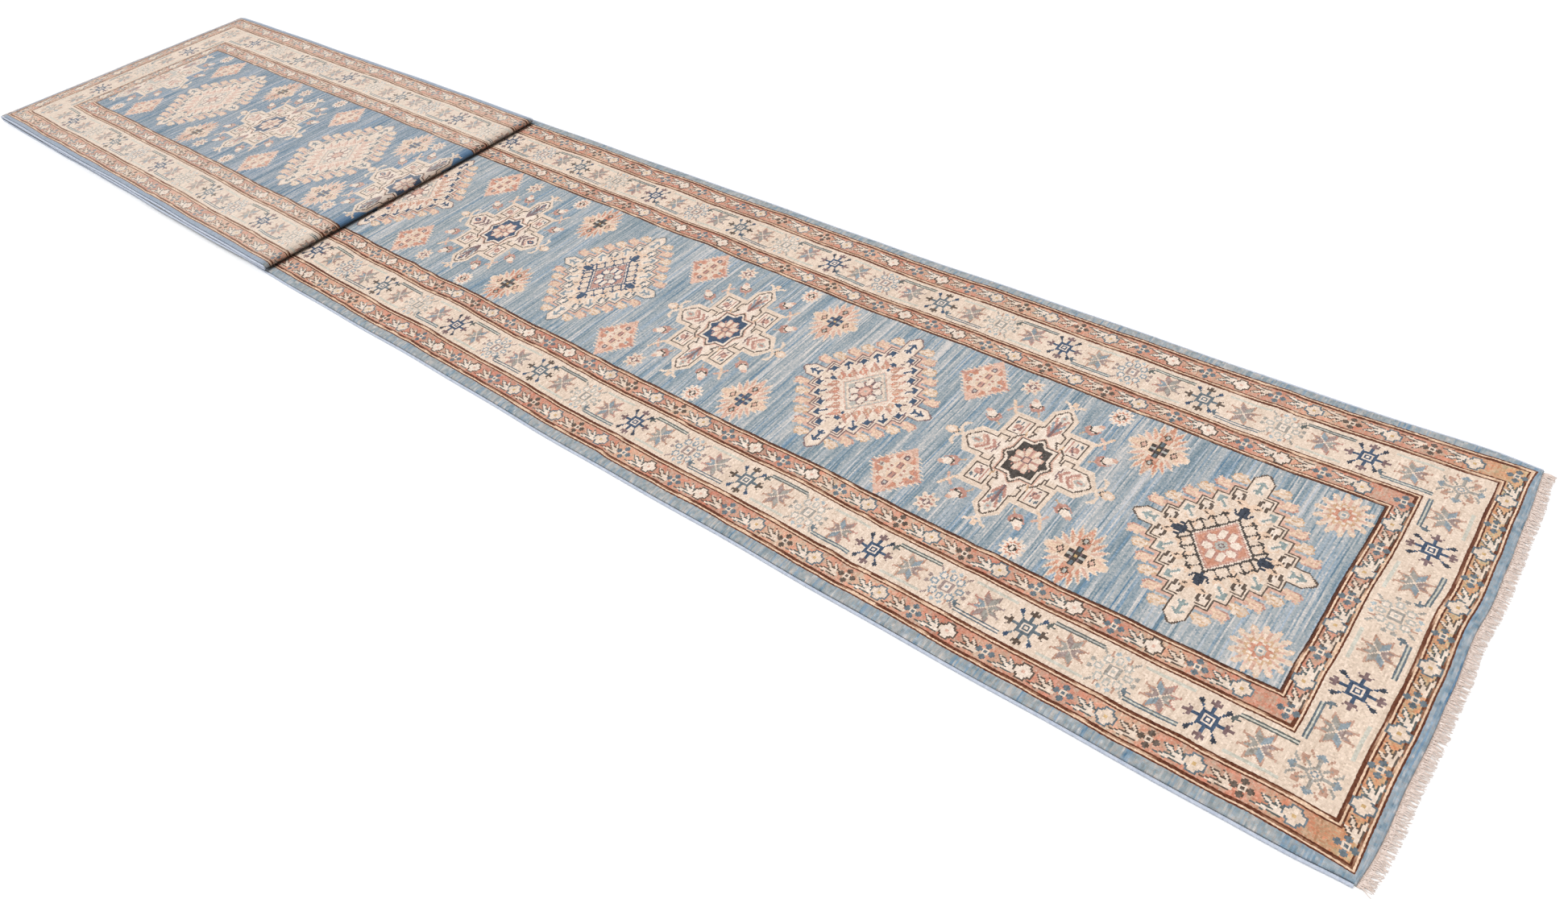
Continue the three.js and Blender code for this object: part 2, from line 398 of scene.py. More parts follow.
def leafy_medallion(line, blob, leaf):
    """The second kind of serrated medallion: pointed leaves inside, and a pale heart."""
    _, layers = serrated_medallion(line, "pink", blob, blob, "cream", "mist", "pink")
    layers = list(layers)
    for step in range(0, STEPS - 1, 2):
        x, y = step_corner(step)
        layers += moved(x + STEP_RUN, y, [STEP_PATCH, (blob, STEP_TOOTH)])
    petal = [
        ("ivory", poly((-4, -1), (5, -3), (10, 7.4), (1, 6))),
        ("rose", stroke(1.1, (4.4, -2), (9, 6))),
        (leaf, oval(2.4, 1.4, 3.4, 2.9)),
        (leaf, poly((2, 3), (5, 0), (7.6, 5.4))),
        ("cream", stroke(1.1, (1, 0.4), (4, 3))),
    ]
    for share in (0, 0.24, 0.48, 0.72, 0.96):  # all round the heart
        layers += moved(27.5 * share + 1.5, 21 * (1 - share) + 2, petal)
    diamonds = ("ivory", 27.5, 21.5), ("pink", 26, 20.2), ("mist", 24.6, 19), ("cream", 22.6, 17.4)
    return quarter(
        *layers,
        *centred(lozenge, *diamonds, ("mist", 19.5, 15)),
        ("rose", oval(0, 0, 12.5, 9)),
        *petals("plum", "ivory", 0.7, (3.8, 7.6, 3, 3.4), (10.2, 3.2, 4.2, 2.4)),
        ("pink", oval(0, 0, 4.6, 3.4)),
        ("charcoal", box(4.6, 0, 6, 1.2)),
        ("mist", oval(0, 0, 1.6, 1.2)),
    )


def leaning_bud(x, y, lean_x, lean_y):
    """A bud on a stem that points away from the star."""
    side_x, side_y = -lean_y, lean_x

    def at(along, across):
        return x + along * lean_x + across * side_x, y + along * lean_y + across * side_y

    cup = at(-1, -3), at(4, -3.4), at(8.5, -2), at(10, 0.4), at(8, 2.6), at(4, 3.2), at(-1, 2.6)
    return [
        ("tan", stroke(1.2, at(-9, 0), at(-2, 0))),
        ("rose", poly(at(-5, 0), at(-3, 4.6), at(2.5, 5), at(1, 0), at(2.5, -5), at(-3, -4.6))),
        ("ivory", poly(*cup)),
        ("pink", poly(at(6, -2.4), at(9, -1.6), at(10.4, 0.6), at(8, 2.4), at(6.4, 1))),
        ("charcoal", stroke(1.2, at(1.5, 3.6), at(-1, 0), at(1.5, -3.4))),
        ("rose", stroke(1.1, at(2.5, 4.4), at(5, 3.8))),
    ]


def star_ground(line):
    """The star's four leaves and four square corners, with a dark line round each."""
    rim = ((0, 50), (13.6, 41.8), (13.6, 30.2), (38.6, 30.2), (38.6, 10.2), (51, 10.2), (61, 0))
    top = [(0, 45.5), (1, 45.5), (9.5, 38.5), (9.5, 27.5), (13.5, 27.5), (13.5, 20.5), (7.5, 20.5)]
    tip = [(57, 0), (56.5, 1), (49.5, 6.5), (34.5, 6.5)]
    side = tip[1:] + [(32.5, 10.5), (25.5, 10.5), (25.5, 7.5), (19.5, 10.5)]
    return [
        ("cream", poly((0, 0), *rim)),
        ("ivory", poly((0, 0), *top[:3], (9.5, 20), (25, 9), *tip[::-1])),
        ("ivory", poly((15, 15), (20, 26), (33.5, 26), (33.5, 14), (22, 10))),
        (line, stroke(1.15, *top[1:])),
        (line, stroke(1.15, *side)),
        (line, stroke(1.15, (18.5, 18.5), (18.5, 26.5), (34.5, 26.5), (34.5, 13.5), (24.5, 13.5))),
        ("rose", stroke(1.1, (20.5, 16.5), (32.5, 16.5))),
        (line, stroke(1.1, (20.5, 14), (17, 17.5), (9.5, 19))),
        ("tan", stroke(1.2, (17.5, 12), (24, 13.5))),
    ]


def star_heart(centre, line):
    """The eight-pointed star in the middle, with a flower of eight petals."""
    return [
        ("pink", poly((0, 0), (0, 19), (7.5, 15), (19, 15), (19, 6), (26, 0))),
        (line, stroke(1.15, (0, 17.5), (6, 13.5), (17.5, 13.5), (17.5, 5), (24, 0))),
        ("ivory", poly((0, 0), (0, 16.6), (5.6, 12.8), (16.8, 12.8), (16.8, 4.8), (23, 0))),
        (centre, poly((0, 0), (0, 15), (5.2, 11), (14.8, 11), (14.8, 4.4), (20.8, 0))),
        ("pink", rosette(13, 10.8, 8, 0.3)),
        ("cream", rosette(11.8, 9.6, 8, 0.34)),
        ("rose", stroke(1.05, (0.5, 0), (0.5, 8.5))),
        ("rose", stroke(1.05, (0, 0.5), (10.5, 0.5))),
        ("rose", stroke(1.05, (2, 1.7), (8, 6.6))),
        ("peach", oval(5.4, 1.9, 2.4, 1)),
        *centred(box, ("plum", 2.6, 2.6), ("pink", 1.6, 1.6)),
    ]


def palmettes(chevron, gem):
    """What fills the star's leaves, one above and one at the side."""
    return [
        (chevron, stroke(2.2, (0.5, 24.5), (5.5, 28))),
        ("plum", stroke(1.1, (0.5, 22.5), (5, 23.5))),
        (chevron, stroke(2.2, (0.5, 29.5), (6.8, 34.5))),
        ("pink", stroke(1.6, (0.5, 32.5), (6, 36.5))),
        (gem, lozenge(0, 38, 3.6, 4.4)),
        ("rose", lozenge(0, 38, 1.6, 2.2)),
        (chevron, stroke(2, (28.5, 0.8), (37, 4.6))),
        ("steel", stroke(1.9, (33, 0.6), (42, 4.2))),
        (chevron, stroke(1.9, (38, 0.6), (47, 3.8))),
        ("plum", stroke(1.2, (27.5, 0.5), (45, 0.5))),
        (gem, lozenge(49, 0, 4.6, 2.8)),
        ("rose", lozenge(49, 0, 2, 1.1)),
    ]


CORNER_SPRAY = [
    ("rose", poly((22, 18.5), (26, 18.5), (28.5, 21), (27, 24.5), (23.5, 23.5))),
    ("pink", oval(25, 21, 1.5, 1.5)),
    ("plum", stroke(1.2, (20.5, 22), (24.5, 19.5), (27.5, 18.5))),
    ("slate", stroke(1.2, (28.5, 20.5), (31, 20.5))),
    ("slate", stroke(1.3, (28.5, 24.5), (31.5, 23.5))),
    ("mist", oval(30.5, 22.5, 1, 1)),
]
FINIALS = [
    ("cream", stroke(2.4, (0.5, 50), (5.5, 53), (10, 52.5), (12, 50))),
    ("peach", oval(0, 57, 3.8, 5)),
    ("charcoal", stroke(1.1, (0.5, 52.5), (2.5, 54.5))),
    ("ivory", oval(0, 58, 2, 3)),
    ("cream", stroke(2.2, (60.5, 1), (64, 3.6), (65.5, 7.4))),
    ("peach", oval(65.5, 0, 3, 2.2)),
]
CROSSED_LEAFLETS = [
    ("peach", stroke(2.2, (37.5, 30.5), (41.5, 33.5), (48, 37))),
    ("pink", stroke(2, (45.5, 29.5), (41.5, 33.5), (36.5, 36.5))),
    ("cream", oval(41.5, 33.5, 1.2, 1.2)),
]


def star_medallion(centre, line, chevron="rose", gem="mist"):
    return quarter(
        *star_ground(line), *star_heart(centre, line), *palmettes(chevron, gem),
        *CORNER_SPRAY, *FINIALS, *CROSSED_LEAFLETS,
        *leaning_bud(26, 40.5, 0.6, 0.8), *leaning_bud(49, 20.5, 0.8, 0.6),
    )


def rays(count, start=0.0):
    """Unit vectors over a quarter turn, for what stands all round."""
    for i in range(count):
        angle = math.radians(start + (90 - 2 * start) * i / (count - 1))
        yield math.cos(angle), math.sin(angle)


def small_flower(petal, vein, count, start, heart):
    """A flower of thin petals, this many over a quarter turn."""
    layers = [(petal, oval(0, 0, 6.4, 5.8))]
    layers += [(petal, stroke(2.3, (c, s), (8 * c, 7.2 * s))) for c, s in rays(count, start)]
    layers += [(vein, stroke(1.05, (c, s), (5.6 * c, 5 * s))) for c, s in rays(count, start)]
    heart_rings = centred(oval, (petal, 3.8, 3.4), (heart, 2.9, 2.6), ("ivory", 1.6, 1.5))
    return quarter(*layers, *heart_rings)


def leaf_burst(cross, leaf):
    """A round flower of pointed leaves with a dark cross in its heart."""
    leaves = (
        ((2, 9), (1, 22), "peach", 1.8),
        ((2.6, 8), (7.4, 19), "peach", 1.3),
        ((4, 6), (13.4, 16), "pink", 1.2),
        ((6, 4), (19.4, 12.4), leaf, 1.2),
        ((8, 2.5), (25, 7.8), leaf, 1.3),
        ((10, 0), (27.5, 0.5), leaf, 1.7),
    )
    layers = []
    for root, tip, dye, half in leaves:
        layers += pointed_leaf("cream", dye, root, tip, half)
    layers += [
        ("cream", poly((0, 0), (0, 13.4), (4.4, 11.4), (6, 7.4), (11, 5), (16, 3.6), (18, 0))),
        (leaf, poly((6, 0), (7, 4.2), (11, 4.2), (15, 3), (18, 0))),
        ("peach", poly((0, 0), (7, 0), (5, 7), (3.6, 11.5), (0, 15))),
        ("coral", stroke(1.1, (10, 3.5), (17, 2.5))),
        ("pink", stroke(1.2, (3.5, 12.5), (2.5, 16))),
        (cross, box(0, 0, 7.6, 2.4)),
        ("plum", box(0, 2, 3.6, 5.8)),
        (cross, box(0.8, 2.6, 3.6, 5.8)),
        ("slate", box(3.6, 0, 7.6, 1.4)),
        ("mist", box(0, 2.4, 0.9, 5.8)),
        ("gold", box(0, 0, 1.1, 1.1)),
        ("umber", lozenge(13.4, 0, 3.6, 2.8)),
        ("mist", lozenge(13.4, 0, 2, 1.5)),
        ("umber", lozenge(0, 10.4, 3.9, 3)),
        ("pink", lozenge(0, 10.4, 2.2, 1.6)),
    ]
    return quarter(*layers)


def toothed_diamond():
    """A diamond whose upper and lower edges are rows of short upright teeth."""
    layers = centred(lozenge, ("pink", 25.5, 19.4), ("cream", 22.5, 16.6))
    for x in (2.5, 5.5, 8.5, 11.5, 14.5, 17.5):
        rim = 19 * (1 - x / 25.5)
        layers += [
            ("cream", box(x - 1, rim - 3, x + 1, rim + 2.6)),
            ("rose", box(x - 1.6, rim - 2, x - 1, rim + 0.5)),
        ]
    layers += [
        ("rose", box(0, 13, 1.2, 19.6)),
        ("coral", poly((11, 1.6), (13, 2.8), (18.6, 2.2), (15.4, 5.6), (10.8, 8.4), (10, 5))),
        ("coral", poly((2, 9), (4.6, 8), (7.6, 9.8), (5.6, 13.6), (1.2, 16.6))),
        ("rose", stroke(1.1, (3, 13), (8.5, 9))),
        ("blush", poly((8, 0), (9, 3.6), (14, 4), (20, 2.4), (25, 0.6), (25, 0))),
        ("pink", stroke(1.2, (15, 2.5), (22, 0.5))),
        ("peach", lozenge(0, 0, 12, 8)),
        ("cream", box(0, 2.6, 4.4, 7.4)),
        ("rose", box(1.4, 3.8, 2.8, 5.8)),
        ("rose", box(2.4, 0, 8.4, 2.4)),
        ("plum", box(3, 0.9, 7, 1.8)),
        ("peach", box(0, 0, 1.8, 2.2)),
        ("plum", oval(13.2, 0, 2.7, 2.3)),
        ("mist", oval(13.2, 0, 1, 0.8)),
        ("mist", lozenge(0, 11.4, 2.2, 2.4)),
        ("plum", box(0, 10.8, 0.9, 12.2)),
    ]
    return quarter(*layers)


def corner_flower():
    """A round flower with a jagged edge and a ring of small leaves inside it."""
    layers = [
        ("peach", rosette(19, 17, 14, 0.36)),
        ("cream", rosette(17.8, 15.8, 14, 0.36)),
    ]
    layers += [("pink", stroke(1.3, (8 * c, 7 * s), (14.5 * c, 12.6 * s))) for c, s in rays(5)]
    layers += [
        ("tan", rosette(10.4, 9.4, 10, 0.3)),
        ("ivory", rosette(8.4, 7.4, 10, 0.3)),
        ("coral", rosette(6.8, 6, 8, 0.25)),
        *centred(oval, ("mist", 3.8, 3.2), ("ivory", 2.4, 2)),
        ("steel", box(0, 0, 1, 1)),
    ]
    return quarter(*layers)


# ---- border motifs
def star_flower(tip, steep, flat):
    """Eight pointed petals, none of them on the axes: x runs across the border."""
    return quarter(
        (tip, poly((3, 2), (6.4, 0.4), (11.4, 4.4), (10.6, 5.2), (4, 4.2))),
        (tip, poly((1, 3), (3.9, 4.2), (4.6, 9.6), (3.6, 9.8), (0.2, 5.6))),
        (flat, poly((0, 0), (6, 0.5), (9, 3.6), (4.2, 3.7))),
        (steep, poly((0, 0), (3.4, 4), (3.4, 7.8), (0.6, 5.2))),
        ("cream", box(0, 0, 1, 1)),
    )


def two_toned(upper, lower):
    """One flower for the upper half and another for the lower half."""
    def half(flower, keep):
        def limited(mask):
            return lambda x, y: mask(np.abs(x), np.abs(y)) & keep(y)
        return [(dye, limited(mask)) for dye, mask in flower[1]]

    return whole(*half(upper, lambda y: y > 0), *half(lower, lambda y: y <= 0))


def crab(line, blob, arm):
    """A small framed square with a bud on a stem at each corner and each side."""
    return quarter(
        (line, stroke(1.3, (4, 3.6), (9, 7))),
        (blob, poly((7.6, 6.6), (8.6, 5.4), (11, 6.2), (12.4, 8), (10.6, 8.8), (8.4, 8.4))),
        (line, stroke(1.1, (0.5, 3), (0.5, 9))),
        (arm, poly((0, 8.4), (2.6, 9), (4.4, 12), (1.2, 11), (0.9, 13.6), (0, 13.6))),
        (line, stroke(1.1, (3.5, 0.5), (9.5, 0.5))),
        (arm, poly((9, 0), (10, 2.4), (13.4, 3.6), (11.6, 0.9), (14, 0.8), (14, 0))),
        *centred(box, (line, 5, 4.6), ("ivory", 3.1, 3.1), (line, 2.1, 2.1), ("ivory", 1.1, 1.1)),
    )


def pale_flower(line, bloom):
    """A small framed flower in a ring of light petals with grey outlines."""
    return quarter(
        *petals(bloom, "ivory", 1.2, (6.6, 5.8, 2, 1.6), (0, 8.6, 1.4, 1.7), (8.2, 0, 1.7, 1.2)),
        (line, stroke(1.2, (9, 8), (12.5, 10.5))),
        ("fawn", stroke(1.1, (9.5, 5), (12.5, 5.5))),
        (line, oval(2.4, 12.6, 1.9, 1.2)),
        ("haze", oval(12.4, 2.6, 1.6, 1.2)),
        *centred(box, (line, 3.8, 3.6), ("ivory", 2.6, 2.4), (bloom, 1.2, 1.2)),
    )


def large_flower(line, bloom):
    """The flower that fills each corner of the wide border."""
    return quarter(
        (bloom, oval(0, 10.5, 2.8, 2.1)),
        (bloom, oval(10.5, 0, 2.1, 2.8)),
        (line, stroke(1.2, (0.5, 5), (0.5, 9))),
        (line, stroke(1.2, (5, 0.5), (9, 0.5))),
        ("fawn", oval(7.4, 7, 2, 1.8)),
        (line, stroke(1.2, (4, 3.5), (6.5, 6.5))),
        (line, stroke(1.2, (3.5, 8.5), (5.5, 11.5), (7.5, 11.5))),
        ("fawn", stroke(1.2, (9.5, 3.5), (12, 5.5))),
        ("fawn", stroke(1.2, (2.5, 5.5), (4.5, 7))),
        *centred(lozenge, (line, 5.6, 5.2), ("cream", 4, 3.8), (bloom, 2.8, 2.6)),
        ("ivory", box(0, 0, 1.1, 1.1)),
    )


def double_bar(dye, core, half_length):
    """Two dark lines with a light core, hooked towards the border's middle at one end."""
    return whole(
        (core, box(0, -half_length, 1, half_length)),
        (dye, box(-1, -half_length, 0, half_length)),
        (dye, box(1, -half_length, 2, half_length)),
        (dye, stroke(1.5, (1.5, half_length), (3.5, half_length + 2.5), (6, half_length + 1.5))),
        (dye, stroke(1.3, (3.5, half_length + 2.5), (4.5, half_length - 1))),
    )


def thin_bar(half_length):
    return whole(("bone", box(-0.6, -half_length, 0.6, half_length)))


def light_cross(petal, edge, eye):
    """The narrow borders' light flower: a plump cross with a dark edge."""
    return quarter(
        *centred(box, (edge, 2.6, 5.6), (edge, 5.6, 2.6), (edge, 3.6, 3.6)),
        *centred(box, (petal, 1.6, 4.6), (petal, 4.6, 1.6), (petal, 2.6, 2.6), (eye, 1.1, 1.1)),
    )


def dark_cross(petal, eye):
    """The narrow borders' dark flower: four small petals set apart."""
    return quarter(
        (petal, oval(0, 3.9, 2.2, 1.9)),
        (petal, oval(3.9, 0, 1.9, 2.2)),
        *centred(box, (eye, 1.9, 1.9), (petal, 0.9, 0.9)),
    )


def leaf_sprig(dark, light):
    """The narrow borders' spray, with y along the border: a long outer leaf and two short ones."""
    return whole(
        *pointed_leaf(dark, light, (3, -6.5), (4.6, 8), 0.8),
        *pointed_leaf(dark, light, (2, -4), (-3.4, 5.4), 0.9),
        *pointed_leaf(dark, light, (1, -5.5), (-5, -1.4), 0.7),
        (light, stroke(1.2, (3, -7.5), (0.5, -3))),
    )


# ---- drawing the rug's chart
MM = 1 / (1000 * KNOT)  # knots in a millimetre
# From the near end to the first medallion and then from each to the next, as the weaver spaced them
OPEN_SPACING = (336, 326, 329, 341, 337, 354, 336)
HIDDEN_SPACING = 350.6
HIDDEN = 8
TOP_SPACING = (295, 342, 318, 314)
TOP_FIRST = 11  # from the front fold
MIRROR_AT = 10  # the medallion about which the order of the fillers turns round


def medallion_rows():
    """The rows at which the medallions stand, from the near end to the far end."""
    open_part = np.cumsum([step * MM for step in OPEN_SPACING + (HIDDEN_SPACING,) * HIDDEN])
    top_part = np.cumsum([TOP_START + TOP_FIRST * MM] + [step * MM for step in TOP_SPACING])
    return [*open_part, *top_part]


# Knots from the rug's middle line, or from the nearest medallion's row
FILLER_OUT = 55
CORNER_OUT, CORNER_AT = 61, 216 * MM
DAISY_OUT, DAISY_AT = 67, 34
POINTED_OUT, POINTED_AT = 71, -30.5
PAST_END = 170 * MM  # where the medallion beyond the far end would be


def draw_fillers(chart, rows):
    """The round and diamond fillers, in pairs half way between the medallions."""
    diamond = toothed_diamond()
    bursts = [leaf_burst("charcoal", "salmon"), leaf_burst("navy", "pink")]
    for i, (at, following) in enumerate(zip(rows, rows[1:] + [ROWS + PAST_END])):
        filler = diamond if (i % 2 == 0) == (i >= MIRROR_AT) else bursts[(i // 2) % 2]
        for side in (-1, 1):
            chart.stamp(filler, side * FILLER_OUT, (at + following) / 2, 29)
    for side in (-1, 1):
        chart.stamp(corner_flower(), side * CORNER_OUT, CORNER_AT, 20)


def draw_field(chart):
    """Serrated and star medallions by turns; the top length's are faded."""
    leafy = leafy_medallion("plum", "navy", "salmon")
    umber = serrated_medallion("umber", "charcoal", "night", "teal", "peach", "coral", "rose")
    slate = serrated_medallion("slate", "navy", "navy", "steel", "peach", "rose", "navy")
    serrated = [umber, leafy, slate, leafy]
    plain = star_medallion("navy", "umber")
    stars = [star_medallion("navy", "plum"), star_medallion("charcoal", "umber"), plain,
             star_medallion("navy", "umber", "plum", "navy"), plain]
    faded = leafy_medallion("mauve", "slate", "pink")
    faded_star = star_medallion("mist", "stone")
    daisy = small_flower("cream", "rose", 3, 0, "plum")
    pointed = small_flower("ivory", "coral", 3, 14, "charcoal")
    rows = medallion_rows()
    draw_fillers(chart, rows)
    for i, at in enumerate(rows):
        if i % 2 == 0:
            chart.stamp(faded if at > TOP_START else serrated[(i // 2) % len(serrated)], 0, at, 76)
            continue
        chart.stamp(faded_star if i == len(rows) - 1 else stars[(i + 1) // 2 % len(stars)], 0, at, 70)
        for side in (-1, 1):
            chart.stamp(daisy, side * DAISY_OUT, at + DAISY_AT, 10)
            chart.stamp(pointed, side * POINTED_OUT, at + POINTED_AT, 10)


def fill_frame(chart, inset_side, inset_near, inset_far, dye):
    """Dyes everything outside a rectangle that lies this far inside the pile's edges."""
    rows = np.arange(ROWS)[:, None]
    columns = np.arange(COLUMNS)[None, :]
    outside = (columns < inset_side) | (columns >= COLUMNS - inset_side)
    outside = outside | (rows < inset_near) | (rows >= ROWS - inset_far)
    chart.ink[outside] = INKS[dye]


def draw_bands(chart):
    """The ground of every band, with the guard stripes, from the innermost band outwards."""
    reach = np.cumsum([SIDE, NEAR, FAR], axis=1)
    edge, outer, main, inner = reach.T

    def guard(inner_edge, innermost="rust"):
        for i, dye in enumerate((innermost, "worn", "guard", "rust")):
            fill_frame(chart, *(inner_edge - i), dye)

    guard(inner, "bark")
    fill_frame(chart, *(inner - GUARD), "salmon")
    guard(main + GUARD)
    fill_frame(chart, *main, "cream")
    guard(outer)
    fill_frame(chart, *(outer - GUARD), "salmon")
    guard(edge + GUARD)
    fill_frame(chart, *edge, "band")
    return edge, outer, main, inner


MOTIF_STEPS = 100  # star flowers and the flowers between them along each side
FIRST_SIDE, LAST_SIDE = 160, 195  # mm from each end to the first of them
STARS = [
    two_toned(star_flower("fawn", "stone", "stone"), star_flower("fawn", "mauve", "steel")),
    two_toned(star_flower("fawn", "mauve", "steel"), star_flower("rose", "stone", "mauve")),
    two_toned(star_flower("fawn", "stone", "mauve"), star_flower("fawn", "mauve", "stone")),
    two_toned(star_flower("rose", "steel", "mauve"), star_flower("mauve", "stone", "stone")),
]
BETWEEN = [crab("navy", "night", "plum"), pale_flower("stone", "mist"), crab("slate", "navy", "umber"),
           pale_flower("mauve", "steel")]
BAR_INSET = 4  # knots from the wide border's edge to its bars
BAR_DYES = [("lichen", "bone"), ("slate", "bone"), ("lichen", "mist"), ("slate", "ivory")]


def band_middle(outside, inside):
    """How far a band's middle lies from the rug's middle, along the sides."""
    return COLUMNS / 2 - (outside[0] + inside[0]) / 2


def draw_long_sides(chart, outer, main):
    """The wide border along both sides, mirrored about the middle of the rug's length."""
    middle = band_middle(outer, main)
    first, last = FIRST_SIDE * MM, ROWS - LAST_SIDE * MM
    offset = (main[0] - outer[0]) / 2 - BAR_INSET
    for k in range(MOTIF_STEPS + 1):
        at = first + (last - first) * k / MOTIF_STEPS
        order = min(k, MOTIF_STEPS - k)
        for side in (-1, 1):
            if order % 2:
                chart.stamp(BETWEEN[(order // 2) % 4], side * middle, at, 17)
                continue
            chart.stamp(STARS[(order // 2) % 4], side * middle, at, 14)
            inner = -1 if order % 4 == 0 else 1
            bar = double_bar(*BAR_DYES[(order // 2 + (side > 0)) % 4], 15)
            way = 1 if k * 2 < MOTIF_STEPS else -1
            u = side * (middle + inner * offset)
            chart.stamp(bar, u, at, 20, mirror_u=-inner * side, mirror_v=way)
            chart.stamp(thin_bar(14), side * (middle - inner * offset), at, 16)


def draw_short_side(chart, middle, end, sign, outer, main):
    """The wide border along one end: a large flower in each corner and nine motifs in all."""
    across = end + sign * (outer + main) / 2
    offset = (main - outer) / 2 - BAR_INSET
    for k in range(-4, 5):
        u = middle * k / 4
        if abs(k) == 4:
            chart.stamp(large_flower("stone", "steel"), u, across, 15)
        elif k % 2 == 0:
            chart.stamp(BETWEEN[1 if k == 0 else 0], u, across, 17, turned=True)
        else:
            chart.stamp(STARS[0], u, across, 14)
            inwards = 1 if abs(k) == 3 else -1
            chart.stamp(double_bar("slate", "bone", 13), u, across + sign * inwards * offset, 18, turned=True,
                        mirror_u=1 if k < 0 else -1, mirror_v=-inwards * sign)
            chart.stamp(thin_bar(12), u, across - sign * inwards * offset, 14, turned=True)


FLOWER_PITCH = 24.4  # knots between the flowers of the narrow borders


def draw_narrow_border(chart, outside, inside, shift):
    """A row of cross flowers, light and dark by turns, with a bent leaf after each."""
    flowers = [light_cross("cream", "slate", "gold"), dark_cross("slate", "cream")]
    darks = [light_cross("ivory", "umber", "pink"), dark_cross("umber", "cream")]
    sprigs = [leaf_sprig("umber", "cream"), leaf_sprig("lichen", "ivory")]
    middle = band_middle(outside, inside)
    near, far = (outside[1] + inside[1]) / 2, ROWS - (outside[2] + inside[2]) / 2
    count = 2 * round((far - near) / FLOWER_PITCH / 2)
    for k in range(1, count):
        at = near + (far - near) * k / count
        kinds = darks if (k * 7 + shift) % 5 < 2 else flowers
        for side in (-1, 1):
            chart.stamp(kinds[(k + 1) % 2], side * middle, at, 8)
            halfway = at + (far - near) / count / 2
            chart.stamp(sprigs[(k + shift) % 2], side * middle, halfway, 9, mirror_u=side)
    count = 2 * round(2 * middle / FLOWER_PITCH / 2)
    for which, across, way in ((1, near, 1), (2, far, -1)):
        for k in range(count + 1):
            u = middle * (2 * k / count - 1)
            chart.stamp(flowers[(k + 1) % 2], u, across, 8, turned=True)
            if k < count:
                chart.stamp(sprigs[k % 2], u + middle / count, across, 9, turned=True, mirror_v=-way)


def weave_chart():
    chart = Chart()
    draw_field(chart)
    edge, outer, main, inner = draw_bands(chart)
    draw_long_sides(chart, outer, main)
    draw_short_side(chart, band_middle(outer, main), 0, 1, outer[1], main[1])
    draw_short_side(chart, band_middle(outer, main), ROWS, -1, outer[2], main[2])
    draw_narrow_border(chart, main + GUARD, inner - GUARD, 0)
    draw_narrow_border(chart, edge + GUARD, outer - GUARD, 2)
    return chart.ink


# ---- wear, the streaks of hand dyeing, and painted shade at the front fold
def smooth_noise(rng, rows, columns, row_step, column_step):
    """Even noise that changes over this many rows and columns, with a spread of about one."""
    coarse = rng.standard_normal((int(rows / row_step) + 3, int(columns / column_step) + 3))
    r, c = np.arange(rows) / row_step, np.arange(columns) / column_step
    r0, c0 = r.astype(int), c.astype(int)
    fr, fc = (r - r0)[:, None], (c - c0)[None, :]
    fr, fc = fr * fr * (3 - 2 * fr), fc * fc * (3 - 2 * fc)
    top = coarse[r0][:, c0] * (1 - fc) + coarse[r0][:, c0 + 1] * fc
    bottom = coarse[r0 + 1][:, c0] * (1 - fc) + coarse[r0 + 1][:, c0 + 1] * fc
    return top * (1 - fr) + bottom * fr


def layered_noise(rng, shape, layers):
    """Noise over several distances at once, each with its own strength."""
    return sum(smooth_noise(rng, *shape, rows, knots) * strength for rows, knots, strength in layers)


def to_linear(srgb):
    share = np.clip(srgb, 0, 255) / 255
    return np.where(share <= 0.04045, share / 12.92, ((share + 0.055) / 1.055) ** 2.4)


# Layers of noise: the rows and knots over which each changes, and its strength
STREAKS = ((1, 45, 0.85), (1, 12, 0.4), (2.4, 60, 0.3), (14, 300, 0.3))
FRESH_STREAKS = ((5, 170, 0.35), (1, 45, 0.8))
MOTTLE = ((1.6, 2.4, 0.45), (1, 9, 0.25))
STREAK_SHARE, FLECK_SHARE = 0.7, 0.36

# What each kind of wear adds to a colour
BLUE_DEPTH = np.array((-36.0, -26.0, -20.0))  # from the middle blue to a deep one
FRESH_BLUE = np.array((-20.0, -9.0, 2.0))
WARM_RED = np.array((7.0, 11.0, 9.0))
REDDER = np.array((4.0, -7.0, -8.0))
TONE = np.array((1.0, 1.05, 1.1))
BAND_END = np.array((-16.0, -6.0, 4.0))
TAN_END = np.array((8.0, 16.0, -4.0))
END_REACH = 150 * MM  # rows over which the near end's own tint fades out

# The top length lies folded away from the light: its dyes are cooler and have faded towards cream
FADED = 0.28
FOLDED_TINT = np.array((3.0, 6.0, 8.0))
FOLDED_FIELD = np.array((-11.0, -8.0, -3.0))
FOLDED_BAND = np.array((168.0, 180.0, 198.0))
FOLDED_BAND_SHARE = 0.6

# Where the front fold opens the pile, its unworn wool shows a deeper blue, and painted shade darkens the nose
# further: the blue deepens and the other dyes darken. On the underside, painted shade darkens a crease
OPENED_SHADED_BLUE = np.array((70.0, 106.0, 142.0))
OPENED_SHARE, OPENED_PAINTED_SHADE = 0.85, 0.12
OPENED_REACH = 0.024
# Painted shade: a few rows on the front fold's underside are darkened to stand in for the shadow in the
# crease
PAINTED_SHADE_ROWS = slice(MIDDLE_END + 1, MIDDLE_END + 5)
PAINTED_SHADE_FACTOR = 0.45


